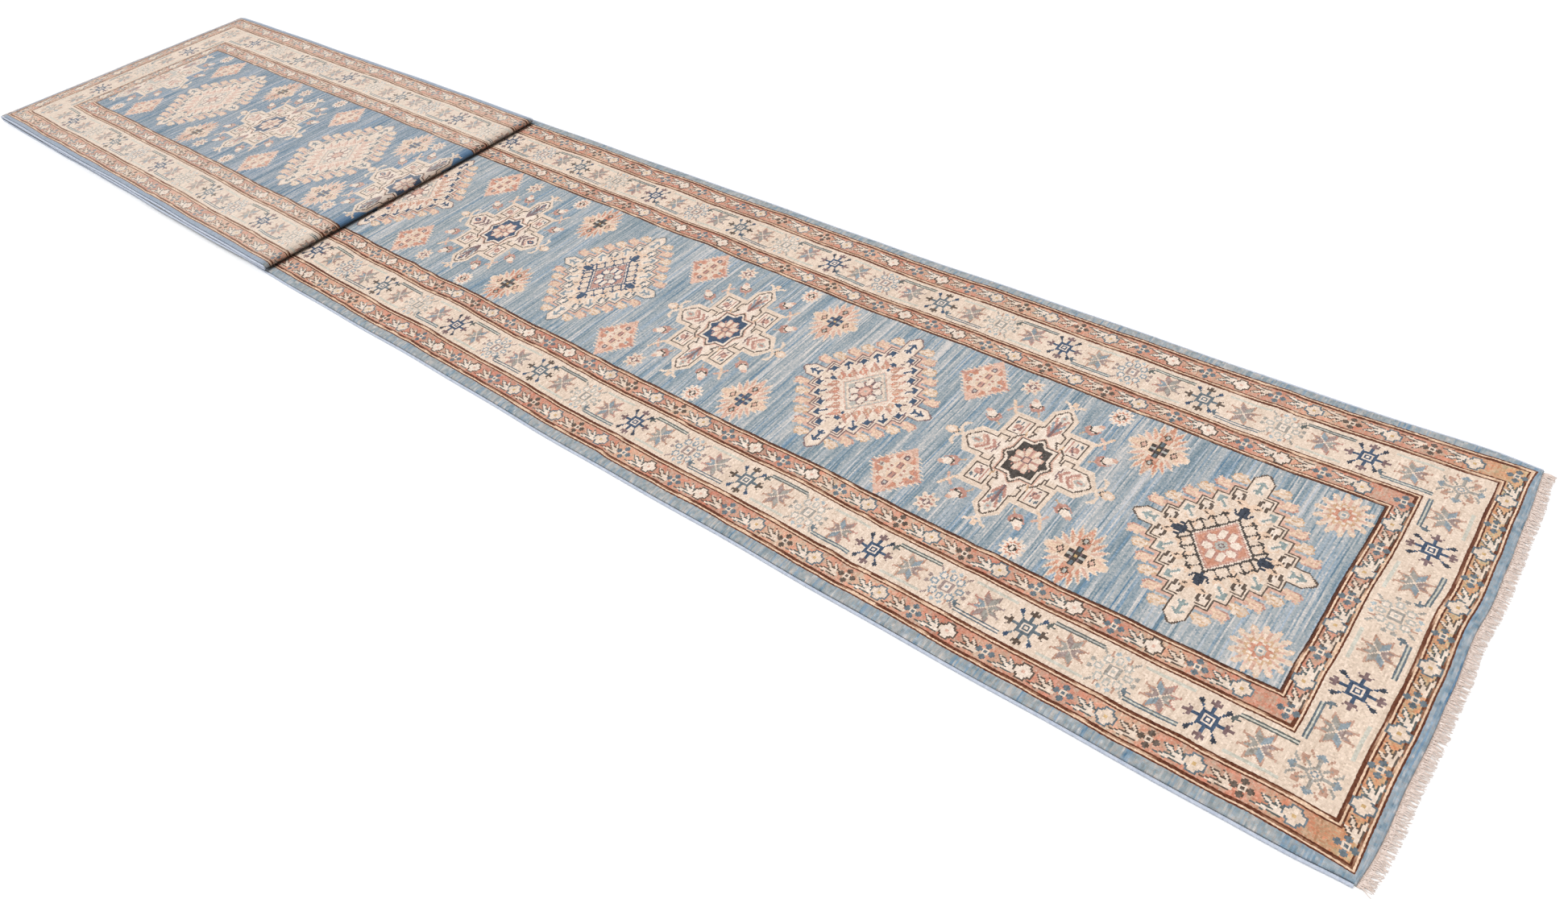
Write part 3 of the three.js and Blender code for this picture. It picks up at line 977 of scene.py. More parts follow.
def fold_fade_and_painted_shade(colour, ink, band, blue):
    """What lying folded has done to the colours of the top length and of the front fold, with painted shade
    over the front fold's nose and crease.
    """
    rows = np.arange(len(ink))
    folded = (rows > TOP_START)[:, None, None]
    colour += np.where(folded & ~blue, FADED * (DYES_TABLE[INKS["cream"]] - colour), 0)
    colour += np.where(folded, np.where(blue, FOLDED_FIELD, FOLDED_TINT), 0)
    colour += np.where(folded & band, FOLDED_BAND_SHARE * (FOLDED_BAND - colour), 0)
    colour += np.where(band, near_end_share(rows) * BAND_END, 0)
    # Painted shade near the nose, added on top of the unworn wool's deeper blue
    opened = np.clip(1.6 - np.abs(rows * KNOT - S_NOSE) / OPENED_REACH, 0, 1)[:, None, None]
    deeper_and_shaded = opened * (OPENED_SHADED_BLUE - colour) * OPENED_SHARE
    colour += np.where(blue & ~band, deeper_and_shaded, -OPENED_PAINTED_SHADE * opened * colour)
    # painted shade in the crease under the front fold's nose
    colour[PAINTED_SHADE_ROWS] *= PAINTED_SHADE_FACTOR


def near_end_share(rows):
    return np.clip(1 - rows / END_REACH, 0, 1)[:, None, None]


def dye_knots(ink):
    """The colour of every knot: its dye, streaked along the rows and flecked from knot to knot, with painted
    shade at the front fold.
    """
    rng = np.random.default_rng(7)
    colour = DYES_TABLE[ink]

    def noise(*layers):
        return layered_noise(rng, ink.shape, layers)

    def dyed(name):
        return (ink == INKS[name])[..., None]

    streak = noise(*STREAKS)
    fresh = noise(*FRESH_STREAKS)
    fleck = rng.standard_normal(ink.shape)
    band, red = dyed("band"), dyed("salmon")
    blue = band | dyed("field")
    mottle = noise(*MOTTLE)
    depth = np.where(ink == INKS["band"], mottle, streak * STREAK_SHARE) + fleck * FLECK_SHARE
    depth = np.clip(depth, -1.6, 1.5)[..., None]
    colour += np.where(blue, depth * BLUE_DEPTH + np.clip(fresh - 0.2, 0, 1.6)[..., None] * FRESH_BLUE, 0)
    warm_row = np.clip(noise((26, 700, 1)), -1.5, 1.5)[..., None]
    blotch = np.clip(noise((3, 3, 1)) + 0.8 * rng.standard_normal(ink.shape), -2, 2)[..., None]
    colour += np.where(red, blotch * REDDER, 0)
    colour += np.where(red, warm_row * WARM_RED + near_end_share(np.arange(len(ink))) * TAN_END, 0)
    worn = np.clip(0.12 + noise((9, 9, 0.6)), 0, 1)[..., None]
    worn = DYES_TABLE[INKS["rust"]] * (1 - worn) + DYES_TABLE[INKS["guard"]] * worn
    colour = np.where(dyed("worn"), worn, colour)
    tone = np.clip(fleck * 8 + streak * 5, -24, 20)[..., None]
    colour += np.where(blue, 0, tone * TONE)
    colour += band * fleck[..., None] * 12
    fold_fade_and_painted_shade(colour, ink, band, blue)
    return to_linear(colour)


# ---- where the cloth lies
def fade(s, centre, reach):
    return 1 - np.exp(-((s - centre) / reach) ** 2)


def ease(share):
    share = np.clip(share, 0, 1)
    return share * share * (3 - 2 * share)


# How far the rug lies to the left of its own middle line, and where along its open part
BASE_DRIFT, FOLD_DRIFT = -0.007, -0.009
DRIFT_FULL, DRIFT_OVER, DRIFT_FALL = 0.35, 2.45, 1.25
CORNER_PULL = 0.008  # how far the outermost band is drawn in at the rug's corners
PULLED_SIDE, PULLED_END = 0.0175, 0.0125  # the width of cloth that moves, from the side and from the end
ALONG_SIDE, ALONG_END = 0.06, 0.045  # how far from the corner it moves
PAST_FOLD, CURL_EASE = 0.03, 0.12  # where the folded part's edges begin to curl in, and over what length


def corner_pull(x, s):
    """The corners are rounded, and the edges curl in wherever the rug lies folded."""
    from_side, from_end = HALF_WIDTH - np.abs(x), np.minimum(s, S_END - s)
    at_corner = np.exp(-(from_end / ALONG_SIDE) ** 2)
    folded_part = ease((s - S_UNDER_FOLD - PAST_FOLD) / CURL_EASE)
    inwards = CORNER_PULL * np.clip(1 - from_side / PULLED_SIDE, 0, 1) * np.maximum(at_corner, folded_part)
    along = CORNER_PULL * np.clip(1 - from_end / PULLED_END, 0, 1) * np.exp(-(from_side / ALONG_END) ** 2)
    return -np.sign(x) * inwards, np.where(s < S_END / 2, along, -along)


def drift(s):
    """The rug isn't laid out quite straight: it strays to the left in its open part and at the front fold."""
    open_part = BASE_DRIFT * ease(s / DRIFT_FULL) * np.clip((DRIFT_OVER - s) / DRIFT_FALL, 0, 1)
    folded = np.minimum((s - S_MIDDLE) / MIDDLE_LENGTH, 1 - (s - S_TOP) / TOP_LENGTH)
    return open_part + FOLD_DRIFT * np.clip(folded, 0, 1)


# Sideways waves of the laid-out rug: size, the length of one radian, start, and lean across the rug
WAVES = ((0.0016, 0.31, 1, 0), (0.0010, 0.117, 0, 2.2), (0.0006, 0.047, 0, 0))
FLARE, FLARE_LENGTH, FLARE_WIDTH = 0.0035, 0.10, 0.26  # how the near end spreads


def place(x, s, h):
    """The point of the cloth x right of the middle, s from the near end and h off its back, in metres."""
    x, s, h = np.broadcast_arrays(np.asarray(x, float), np.asarray(s, float), np.asarray(h, float))
    inwards, along = corner_pull(x, s)
    y, z = np.empty(s.shape), np.empty(s.shape)
    wander = sum(size * np.sin(s / length + start + lean * x) for size, length, start, lean in WAVES)
    flare = FLARE * np.exp(-(s / FLARE_LENGTH) ** 2) * np.sin(x / FLARE_WIDTH)
    base, back = s <= S_BASE, (s > S_BASE) & (s < S_MIDDLE)
    middle, front = (s >= S_MIDDLE) & (s <= S_MIDDLE_END), (s > S_MIDDLE_END) & (s < S_TOP)
    top = s >= S_TOP
    y[base], z[base] = NEAR_END + s[base], h[base]
    angle = math.pi * ((s[back] - S_BASE) / (S_MIDDLE - S_BASE) - 0.5)
    radius = FOLD_OUTSIDE - h[back]
    y[back], z[back] = BACK_FOLD + radius * np.cos(angle), BACK_AXIS + radius * np.sin(angle)
    y[middle] = BACK_FOLD - (s[middle] - S_MIDDLE)
    z[middle] = BACK_AXIS + FOLD_OUTSIDE - h[middle]
    angle = math.pi * ((s[front] - S_MIDDLE_END) / (S_TOP - S_MIDDLE_END) - 0.5)
    radius = FOLD_HOLLOW + h[front]
    y[front], z[front] = FRONT_FOLD - radius * np.cos(angle), FRONT_AXIS + radius * np.sin(angle)
    y[top] = FRONT_FOLD + s[top] - S_TOP
    z[top] = FRONT_AXIS + FOLD_HOLLOW + h[top]
    return np.stack((x + wander + flare + drift(s) + inwards, y + along, z), -1)


# ---- mesh helpers
def make_mesh(name, verts, quads, polygons=(), face_colours=None, smooth=True):
    """A mesh from numpy arrays: four-sided faces, then a few larger ones."""
    mesh = bpy.data.meshes.new(name)
    mesh.vertices.add(len(verts))
    mesh.vertices.foreach_set("co", np.asarray(verts, np.float32).ravel())
    corners = [np.asarray(quads, np.int32).ravel()] + [np.asarray(p, np.int32) for p in polygons]
    loops = np.concatenate(corners)
    sizes = np.concatenate([np.full(len(quads), 4), [len(p) for p in polygons]]).astype(np.int32)
    mesh.loops.add(len(loops))
    mesh.loops.foreach_set("vertex_index", loops)
    mesh.polygons.add(len(sizes))
    mesh.polygons.foreach_set("loop_start", np.concatenate([[0], np.cumsum(sizes)[:-1]]).astype(np.int32))
    mesh.update(calc_edges=True)
    if smooth:
        mesh.polygons.foreach_set("use_smooth", np.ones(len(sizes), bool))
    if face_colours is not None:
        rgba = np.ones((len(sizes), 4), np.float32)
        rgba[:len(face_colours), :3] = face_colours
        rgba[len(face_colours):, :3] = np.mean(face_colours, axis=0)
        mesh.attributes.new("dye", "FLOAT_COLOR", "FACE").data.foreach_set("color", rgba.ravel())
    mesh.validate()
    piece = bpy.data.objects.new(name, mesh)
    bpy.context.scene.collection.objects.link(piece)
    return piece


def grid_quads(grid):
    """The four-sided faces between the points of a grid of vertex numbers."""
    return np.stack((grid[:-1, :-1], grid[:-1, 1:], grid[1:, 1:], grid[1:, :-1]), -1).reshape(-1, 4)


def tube_faces(rings, around):
    """The faces of a tube and its two caps, for rings of vertices one after another."""
    grid = np.arange(rings * around).reshape(rings, around)
    return grid_quads(np.hstack((grid, grid[:, :1]))), [grid[0][::-1], grid[-1]]


def cloth_slab(name, rows, fine, plain_height, colours, up, step=1):
    """A closed layer of the cloth over these rows: one finely divided face and one plain face.

    fine(rows, columns) gives the divided face's height off the back, and its pull, at each grid point."""
    r = np.arange(rows[0], rows[1] + 1, step)
    r[-1] = rows[1]
    c = np.arange(0, COLUMNS + 1, step)
    nr, nc = len(r), len(c)
    heights, dx, ds = fine(r, c)
    x = (c[None, :] - COLUMNS / 2) * KNOT + dx
    s = r[:, None] * KNOT + ds
    face = place(x, s, heights).reshape(-1, 3)
    on_rim = np.ones((nr, nc), bool)
    on_rim[1:-1, 1:-1] = False
    plain = place(x[on_rim], s[on_rim], plain_height)
    index = np.full((nr, nc), -1)
    index[on_rim] = nr * nc + np.arange(len(plain))
    grid = np.arange(nr * nc).reshape(nr, nc)
    tint = colours[r[:-1]][:, c[:-1]]
    quads, tints = [grid_quads(grid)], [tint.reshape(-1, 3)]
    for edge, way in (((0,), 1), ((-1,), -1), ((slice(None), 0), -1), ((slice(None), -1), 1)):
        fine_edge, plain_edge = grid[edge], index[edge]
        wall = np.stack((fine_edge[:-1], plain_edge[:-1], plain_edge[1:], fine_edge[1:]), -1)
        quads.append(wall[:, ::way])
        tints.append(tint[edge])
    left, right = index[1:-1, 0], index[1:-1, -1]
    quads.append(np.stack((left[:-1], left[1:], right[1:], right[:-1]), -1))
    tints.append(tint[1:-2, 0] if nr > 3 else np.zeros((0, 3)))
    ends = [np.concatenate([index[0][::-1], index[1:2, 0], index[1:2, -1]]),
            np.concatenate([index[-1], index[-2:-1, -1], index[-2:-1, 0]])]
    quads = np.concatenate(quads)
    if not up:
        quads, ends = quads[:, ::-1], [end[::-1] for end in ends]
    return make_mesh(name, np.concatenate([face, plain]), quads, ends, np.concatenate(tints))


PILE_ROUND = 3  # knots over which the pile drops at the rug's edges
EDGE_DROP = 0.0016
NOSE_DROP = 0.0018  # how far the pile fans out flat over the front fold
NOSE_REACH = 0.022
PILE_DIP = 0.0003  # the pile's mean surface below the top of its solid
TUFT, SWELL, SHIFT, RIDGE = 0.00022, 0.00035, 0.0004, 0.00012
SIDEWAYS = ((42, 60, 0.0013), (14, 40, 0.0006))  # rows, knots and size of the sideways pull
SIDE_HOLD = 12  # knots over which the side cords hold the cloth straight
FOLD_HOLD, END_WAVY = 0.12, 0.14  # where the folds hold the rows straight, and where the ends wave most


class Surface:
    """The small unevenness of the whole pile and back, in one piece so that neighbours meet exactly."""

    def __init__(self):
        rng = np.random.default_rng(11)
        shape = (ROWS + 1, COLUMNS + 1)
        self.tuft = rng.standard_normal(shape).astype(np.float32)
        self.shift = rng.uniform(-1, 1, shape + (2,)).astype(np.float32)
        self.swell = smooth_noise(rng, *shape, 70, 55).astype(np.float32)
        self.sideways = layered_noise(rng, shape, SIDEWAYS)
        s = np.arange(ROWS + 1)[:, None] * KNOT
        folds = fade(s, S_BASE, FOLD_HOLD) * fade(s, S_MIDDLE_END, FOLD_HOLD)
        ends = np.exp(-(s / END_WAVY) ** 2) + np.exp(-((S_END - s) / END_WAVY) ** 2)
        wavy = smooth_noise(rng, *shape, 90, 34) * (0.0007 + 0.0012 * ends)
        wavy = wavy + smooth_noise(rng, *shape, 30, 15) * 0.0004
        self.along = wavy * folds

    def pull(self, r, c):
        """How far hand weaving has drawn each point sideways and along the rug, where no edge holds it."""
        sub = np.ix_(r, c)
        rim = np.minimum(c, COLUMNS - c)[None, :] * np.ones((len(r), 1))
        held = 1 - np.clip(1 - rim / SIDE_HOLD, 0, 1) ** 2
        return self.sideways[sub] * held, self.along[sub]

    def pile(self, r, c):
        """The pile's height and pull: tufts that stand apart, lower along the edges and over the fold."""
        rim = np.minimum(np.minimum(c, COLUMNS - c)[None, :], np.minimum(r, ROWS - r)[:, None])
        drop = EDGE_DROP * np.clip(1 - rim / PILE_ROUND, 0, 1) ** 2
        drop = drop + NOSE_DROP * np.exp(-((r * KNOT - S_NOSE) / NOSE_REACH) ** 2)[:, None]
        sub = np.ix_(r, c)
        swell = SWELL * np.clip(self.swell[sub], -1.5, 1.5)
        height = PILE_TOP - PILE_DIP + TUFT * self.tuft[sub] + swell - drop
        sideways, along = self.pull(r, c)
        free = (rim > 0) * SHIFT
        return height, free * self.shift[..., 0][sub] + sideways, free * self.shift[..., 1][sub] + along

    def back(self, r, c):
        ridge = RIDGE * ((r[:, None] + c[None, :]) % 2)
        return ridge, *self.pull(r, c)


# ---- materials
def node(tree, kind, **settings):
    """A node whose sockets and properties are set by name, with another node's output linked in."""
    made = tree.nodes.new(kind)
    for key, value in settings.items():
        if isinstance(value, bpy.types.NodeSocket):
            tree.links.new(value, made.inputs[key])
        elif key in made.inputs:
            made.inputs[key].default_value = value
        else:
            setattr(made, key, value)
    return made


def maths(tree, operation, *values):
    """A Math node on these values, each a number or another node's output."""
    made = node(tree, "ShaderNodeMath", operation=operation)
    for socket, value in zip(made.inputs, values):
        if isinstance(value, bpy.types.NodeSocket):
            tree.links.new(value, socket)
        else:
            socket.default_value = value
    return made.outputs[0]


def material(name, build, **values):
    mat = bpy.data.materials.new(name)
    mat.use_nodes = True
    shader = mat.node_tree.nodes["Principled BSDF"]
    for socket, value in values.items():
        shader.inputs[socket.replace("_", " ")].default_value = value
    build(mat.node_tree, shader)
    return mat


def object_noise(tree, scale, detail, roughness=0.5):
    """Noise fixed to the object: its strength, and the coordinates it is read at."""
    at = tree.nodes.new("ShaderNodeTexCoord").outputs["Object"]
    made = node(tree, "ShaderNodeTexNoise", Vector=at, Scale=scale, Detail=detail, Roughness=roughness)
    return made.outputs["Fac"], at


def bump(tree, shader, height, distance, strength):
    made = node(tree, "ShaderNodeBump", Height=height, Strength=strength, Distance=distance)
    tree.links.new(made.outputs["Normal"], shader.inputs["Normal"])


def knotted(spread, relief, distance, strength):
    """Wool in each knot's own dye, with painted shade at the front fold, which varies from fibre to fibre and
    rises over each knot.
    """
    def build(tree, shader):
        dye = node(tree, "ShaderNodeAttribute", attribute_name="dye")
        fibres, at = object_noise(tree, 900.0, 3.0, 0.6)
        limits = {"To Min": 1 - spread, "To Max": 1 + spread}
        vary = node(tree, "ShaderNodeMapRange", Value=fibres, **limits)
        mixed = node(tree, "ShaderNodeVectorMath", operation="SCALE", Scale=vary.outputs["Result"])
        tree.links.new(dye.outputs["Color"], mixed.inputs[0])
        tree.links.new(mixed.outputs["Vector"], shader.inputs["Base Color"])
        split = node(tree, "ShaderNodeSeparateXYZ", Vector=at)
        waves = [maths(tree, "COSINE", maths(tree, "MULTIPLY", split.outputs[axis], 2 * math.pi / KNOT))
                 for axis in "XY"]
        height = maths(tree, "MULTIPLY_ADD", maths(tree, "ADD", *waves), relief, fibres)
        bump(tree, shader, height, distance, strength)
    return build


def yarn(light, dark, scale):
    """Plain yarn whose colour drifts between two shades."""
    def build(tree, shader):
        drifting, _ = object_noise(tree, scale, 4.0, 0.65)
        ramp = node(tree, "ShaderNodeValToRGB", Fac=drifting)
        for element, position, colour in zip(ramp.color_ramp.elements, (0.32, 0.68), (dark, light)):
            element.position = position
            element.color = (*to_linear(np.array(colour, float)), 1)
        tree.links.new(ramp.outputs["Color"], shader.inputs["Base Color"])
        fine, _ = object_noise(tree, 2200.0, 2.0)
        bump(tree, shader, fine, 0.0006, 0.5)
    return build


SOFT = {"Roughness": 0.9, "Sheen_Weight": 0.25, "Sheen_Roughness": 0.5, "Specular_IOR_Level": 0.2}
PILE = material("pile_wool", knotted(0.16, 0.22, 0.0012, 0.55), **SOFT)
BACK = material("woven_back", knotted(0.1, 0.6, 0.0008, 0.7), **SOFT)
SELVEDGE = material("selvedge_yarn", yarn((206, 212, 225), (178, 187, 204), 160.0), **SOFT)
UNDYED = material("undyed_warp", yarn((246, 230, 221), (222, 202, 190), 240.0), **SOFT)
KILIM = material("kilim_wool", yarn((234, 214, 203), (208, 184, 170), 300.0), **SOFT)


def dress(piece, mat, body, nodes):
    """Gives a piece its material and its place in the frame."""
    piece.data.materials.append(mat)
    if isinstance(body, tuple):
        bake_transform(piece)
    else:
        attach(piece, body)
    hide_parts(*nodes)


# ---- the rug's stretches
YARN_PITCH = 0.0032  # from one turn of the side cord's yarn to the next
YARN_STEPS, CORD_SIDES = 4, 10  # how finely each turn and the cord's round are divided


def sections(first, last, count):
    cuts = [round(first + (last - first) * i / count) for i in range(count + 1)]
    return list(zip(cuts, cuts[1:]))


def bend(parent, child, fold_y, axis_z):
    return (parent, child, (0, fold_y, axis_z - FOLD_OUTSIDE), (0, fold_y, axis_z + FOLD_OUTSIDE))


# Each stretch of the cloth in order: its part of the rug, what it moves with and its rows
STRETCHES = [
    *(("base", "base_length", rows) for rows in sections(0, BASE_END, 4)),
    ("back_fold", bend("base_length", "middle_length", BACK_FOLD, BACK_AXIS), (BASE_END, MIDDLE_START)),
    *(("middle", "middle_length", rows) for rows in sections(MIDDLE_START, MIDDLE_END, 2)),
    ("front_fold", bend("middle_length", "top_length", FRONT_FOLD, FRONT_AXIS), (MIDDLE_END, TOP_START)),
    *(("top", "top_length", rows) for rows in sections(TOP_START, ROWS, 2)),
]
# The foundation in a half-round turn is as long as its outer face: yarn buckles but doesn't stretch
TURN_LENGTHS = {"back_fold": math.pi * FOLD_OUTSIDE, "front_fold": math.pi * (FOLD_HOLLOW + FOUNDATION)}


def pile_nodes(part):
    if part in TURN_LENGTHS:
        return [f"{part}_pile"]
    if part == "middle":
        sides = [f"middle_{name}_pile_{side}" for name in BANDS for side in ("left", "right")]
        return ["middle_field_pile"] + sides
    return [f"{part}_field_pile"] + [f"{part}_{name}_pile" for name in BANDS]


def wound_cord(rows, side):
    """The side cord, wound round with yarn: a tube whose skin rises over every turn of the yarn."""
    steps = max(8, int((rows[1] - rows[0]) * KNOT / YARN_PITCH * YARN_STEPS))
    s = np.linspace(rows[0], rows[1], steps + 1)[:, None] * KNOT
    turn = np.linspace(0, 2 * math.pi, CORD_SIDES, endpoint=False)[None, :]
    swell = 0.93 + 0.07 * np.cos(2 * math.pi * (s / YARN_PITCH) + turn)
    x = side * SELVEDGE_X + SELVEDGE_RADIUS * swell * np.cos(turn)
    h = SELVEDGE_RADIUS + SELVEDGE_RADIUS * swell * np.sin(turn)
    verts = place(x, s + 0 * turn, np.maximum(h, 0.0001)).reshape(-1, 3)
    quads, caps = tube_faces(steps + 1, CORD_SIDES)
    return verts, quads[:, ::-1], [cap[::-1] for cap in caps]


def joined(name, parts):
    """One mesh from several (verts, quads, polygons) parts."""
    verts, quads, polygons, offset = [], [], [], 0
    for v, q, p in parts:
        verts.append(v)
        quads.append(q + offset)
        polygons += [face + offset for face in p]
        offset += len(v)
    return make_mesh(name, np.concatenate(verts), np.concatenate(quads), polygons)


def build_cloth(surface, colours, backs):
    for i, (part, body, rows) in enumerate(STRETCHES, 1):
        turn = part in TURN_LENGTHS
        label = part if turn else f"{part}_{i}"
        pile = cloth_slab(f"pile_{label}", rows, surface.pile, PILE_LOW, colours, True)
        dress(pile, PILE, body, pile_nodes(part))
        step = 1 if turn else 2
        back = cloth_slab(f"ground_{label}", rows, surface.back, FOUNDATION, backs, False, step)
        dress(back, BACK, body, [f"{part}_foundation"])
        cords = joined(f"selvedges_{label}", [wound_cord(rows, side) for side in (-1, 1)])
        sides = [f"{part}_selvedge_{side}" for side in ("left", "right")]
        dress(cords, SELVEDGE, body, sides)


# ---- the two ends
KILIM_RIBS = 220
# The strip's cross-section: how far out each point lies, and its height as a share of the thickness
KILIM_PROFILE = ((0, 0), (0, 0.85), (0.25, 1), (0.5, 0.9), (0.75, 1), (1, 0.8), (1, 0))
TWIST_PITCH, TWIST_STEPS = 0.0062, 1100
YARN_OFF, YARN_RADIUS = 0.45, 0.62  # of the twined cord's radius
TAPER = 0.55  # how much of its thickness a thread loses towards its end
FRINGE_THREADS = 800
# Each thread's start on the strip and its reach, as shares; its lean, curl and radius in metres
THREAD_START, THREAD_REACH = (0.0, 0.5), (0.62, 0.92)
THREAD_LEAN, THREAD_CURL, THREAD_RADIUS = (0.002, 0.003), (0, 0.0011), (0.0005, 0.00075)
THREAD_LIFT, THREAD_ARCH = 0.0007, 0.001


def strand(path, radius, around):
    """A tapering thread along a list of points."""
    path = np.asarray(path, float)
    way = np.gradient(path, axis=0)
    way /= np.linalg.norm(way, axis=1)[:, None]
    side = np.cross(way, (0, 0, 1.0))
    side /= np.linalg.norm(side, axis=1)[:, None]
    over = np.cross(side, way)
    share = np.linspace(0, 1, len(path))[:, None, None]
    turn = np.linspace(0, 2 * math.pi, around, endpoint=False)[None, :, None]
    ring = (np.cos(turn) * side[:, None] + np.sin(turn) * over[:, None]) * radius * (1 - TAPER * share)
    verts = (path[:, None] + ring).reshape(-1, 3)
    return verts, *tube_faces(len(path), around)


class End:
    """One end of the rug: outward is 1 at the far end and -1 at the near end."""

    def __init__(self, surface, prefix, body, outward):
        self.prefix, self.body, self.outward = prefix, body, outward
        self.row, self.s, self.y = (ROWS, S_END, FAR_END) if outward > 0 else (0, 0.0, NEAR_END)
        self.wave = surface.pull(np.array([self.row]), np.arange(COLUMNS + 1))[1][0]
        lo, hi = self.low, self.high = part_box(f"{prefix}_kilim_strip")
        self.edge = lo[1] if outward > 0 else hi[1]
        self.thick = hi[2] - lo[2]

    def line(self, x):
        """Where the rug's last row lies, so that the trimmings follow it."""
        lying = place(np.atleast_1d(x), self.s, 0.0)
        wave = np.interp(np.atleast_1d(x) / KNOT + COLUMNS / 2, np.arange(COLUMNS + 1), self.wave)
        return lying[:, 0], wave + (lying[:, 1] - self.y)


def build_kilim(end):
    """The flat-woven strip, in fine ribs."""
    x = np.linspace(-HALF_WIDTH, HALF_WIDTH, 2 * KILIM_RIBS + 1)
    px, wave = end.line(x)
    rib = 0.9 + 0.1 * (np.arange(len(x)) % 2)
    deep = end.high[1] - end.low[1]
    verts = np.empty((len(KILIM_PROFILE), len(x), 3))
    for i, (share, height) in enumerate(KILIM_PROFILE):
        verts[i, :, 0] = px
        verts[i, :, 1] = end.edge + end.outward * share * deep + wave
        verts[i, :, 2] = end.low[2] + end.thick * height * rib
    grid = np.arange(len(KILIM_PROFILE) * len(x)).reshape(verts.shape[:2])
    quads = grid_quads(np.vstack((grid, grid[:1])))
    caps = [grid[:, 0], grid[::-1, -1]]
    if end.outward < 0:
        quads, caps = quads[:, ::-1], [cap[::-1] for cap in caps]
    strip = make_mesh(f"{end.prefix}_kilim", verts.reshape(-1, 3), quads, caps, smooth=False)
    dress(strip, KILIM, end.body, [f"{end.prefix}_kilim_strip"])


def build_twining(end):
    """The twined cord: two yarns twisted round each other along the edge."""
    lo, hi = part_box(f"{end.prefix}_twined_cord")
    cy, cz, radius = (lo[1] + hi[1]) / 2, (lo[2] + hi[2]) / 2, (hi[1] - lo[1]) / 2
    x = np.linspace(-HALF_WIDTH + 0.001, HALF_WIDTH - 0.001, TWIST_STEPS)
    px, wave = end.line(x)
    yarns = []
    for phase in (0, math.pi):
        turn = x / TWIST_PITCH * 2 * math.pi + phase
        y = cy + wave + YARN_OFF * radius * np.cos(turn)
        z = cz + YARN_OFF * radius * np.sin(turn)
        yarns.append(strand(np.stack((px, y, z), -1), radius * YARN_RADIUS, 6))
    cord = joined(f"{end.prefix}_twining", yarns)
    dress(cord, UNDYED, end.body, [f"{end.prefix}_twined_cord"])


def fringe_thread(end, rng, i, root, reach, floor):
    """One loose warp end, from somewhere on the kilim strip down to what the fringe lies on."""
    x = -HALF_WIDTH + 0.002 + (2 * HALF_WIDTH - 0.004) * (i + rng.uniform(0.1, 0.9)) / FRINGE_THREADS
    px, wave = end.line(x)
    lean = rng.normal(*THREAD_LEAN)
    start = rng.uniform(*THREAD_START) * (root - end.edge)
    length = root + end.outward * reach * rng.uniform(*THREAD_REACH) - end.edge - start
    t = np.linspace(0, 1, 8)
    curl = rng.normal(*THREAD_CURL)
    xs = px[0] + lean * t ** 1.4 + curl * np.sin(t * math.pi)
    ys = end.edge + start + wave[0] + length * t
    over_strip = np.clip(1.5 - 2 * t, 0, 1)
    arch = rng.uniform(0, THREAD_ARCH) * np.sin(t * math.pi)
    zs = floor + THREAD_LIFT + over_strip * (end.thick - 0.0003) + arch
    return strand(np.stack((xs, ys, zs), -1), rng.uniform(*THREAD_RADIUS), 5)


def build_fringe(end, seed):
    rng = np.random.default_rng(seed)
    lo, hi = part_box(f"{end.prefix}_fringe")
    root = hi[1] if end.outward < 0 else lo[1]
    threads = [fringe_thread(end, rng, i, root, hi[1] - lo[1], lo[2]) for i in range(FRINGE_THREADS)]
    fringe = joined(f"{end.prefix}_fringe_threads", threads)
    dress(fringe, UNDYED, end.body, [f"{end.prefix}_fringe"])


def build_end(surface, prefix, body, outward, seed):
    end = End(surface, prefix, body, outward)
    build_kilim(end)
    build_twining(end)
    build_fringe(end, seed)


# ---- camera, floor and light
def look(camera, place_at, heading, pitch, roll):
    """Points a camera by its heading from +Y towards +X, its pitch below the horizon and its roll."""
    h, p, r = map(math.radians, (heading, pitch, roll))
    forward = Vector((math.sin(h) * math.cos(p), math.cos(h) * math.cos(p), -math.sin(p)))
    level_up = Vector((math.sin(h) * math.sin(p), math.cos(h) * math.sin(p), math.cos(p)))
    level_right = forward.cross(level_up)
    up = math.cos(r) * level_up + math.sin(r) * level_right
    right = forward.cross(up)
    turn = Matrix((right, up, -forward)).transposed().to_4x4()
    camera.matrix_world = Matrix.Translation(place_at) @ turn


def add_sun(name, towards, energy, spread):
    """A light that shines from a direction, softer the more degrees it spreads over."""
    lamp = bpy.data.objects.new(name, bpy.data.lights.new(name, "SUN"))
    lamp.data.energy = energy
    lamp.data.angle = math.radians(spread)
    lamp.rotation_euler = Vector(towards).to_track_quat("Z", "Y").to_euler()
    bpy.context.scene.collection.objects.link(lamp)


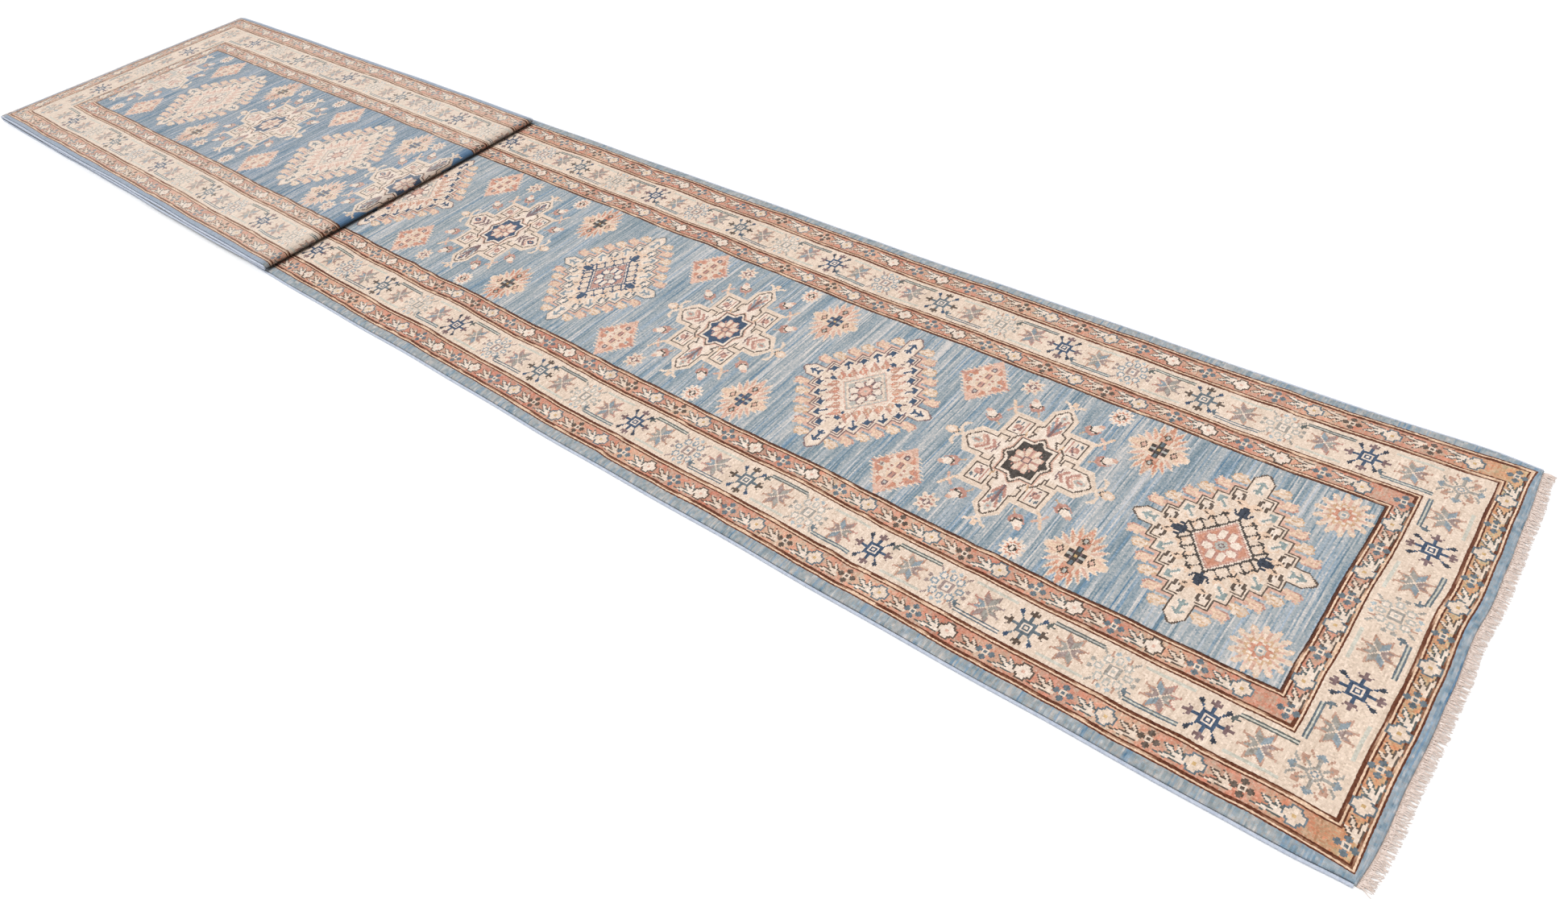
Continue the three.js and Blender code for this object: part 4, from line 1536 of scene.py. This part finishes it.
FLOOR_HALF, FLOOR_Z = 20, -0.0005
WORLD_STRENGTH = 0.17
SUNS = (  # name, towards the light, strength, spread in degrees
    ("window_light", (-0.3, 0.12, 1), 1.45, 24),
    ("side_light", (-1, 0.3, 0.6), 0.18, 30),
    ("ceiling_light", (-0.05, 0.05, 1), 1.6, 95),
)
LENS = 24.78
CORNER = Vector((-0.390, NEAR_END + 0.0125, PILE_TOP))  # the outer guard's near left corner
CAMERA_FROM_CORNER = Vector((-0.7821, 0.0517, 1.2615))
HEADING, PITCH, ROLL = 45.31, 43.09, 7.62


def build_camera(scene):
    camera = bpy.data.objects.new("camera", bpy.data.cameras.new("camera"))
    scene.collection.objects.link(camera)
    camera.data.sensor_width = 36
    camera.data.lens = LENS
    camera.data.clip_end = 50
    look(camera, CORNER + CAMERA_FROM_CORNER, HEADING, PITCH, ROLL)
    scene.camera = camera


def build_studio():
    scene = bpy.context.scene
    build_camera(scene)
    corners = [(x * FLOOR_HALF, y * FLOOR_HALF, FLOOR_Z) for x, y in ((-1, -1), (1, -1), (1, 1), (-1, 1))]
    floor = make_mesh("floor", corners, [(0, 1, 2, 3)])
    paint = material("floor_paint", lambda *a: None, Base_Color=(0.96, 0.96, 0.96, 1), Roughness=0.9)
    floor.data.materials.append(paint)
    scene.world = bpy.data.worlds.new("studio")
    scene.world.use_nodes = True
    background = scene.world.node_tree.nodes["Background"]
    background.inputs["Color"].default_value = (1, 1, 1, 1)
    background.inputs["Strength"].default_value = WORLD_STRENGTH
    for sun in SUNS:
        add_sun(*sun)
    scene.view_settings.view_transform = "Standard"


BARE_WARP = (214.0, 200.0, 184.0)
PILE_SHARE, WARP_SHARE = 0.82, 0.18  # how much of the back's colour is wool and how much bare warp

build_studio()
ink = weave_chart()
pile_colours = dye_knots(ink)
# The back takes the pile's colours, so it carries the painted shade at the front fold too
back_colours = pile_colours * PILE_SHARE + to_linear(np.array(BARE_WARP)) * WARP_SHARE
surface = Surface()
build_cloth(surface, pile_colours, back_colours)
build_end(surface, "near", "base_length", -1, 3)
build_end(surface, "far", "top_length", 1, 5)
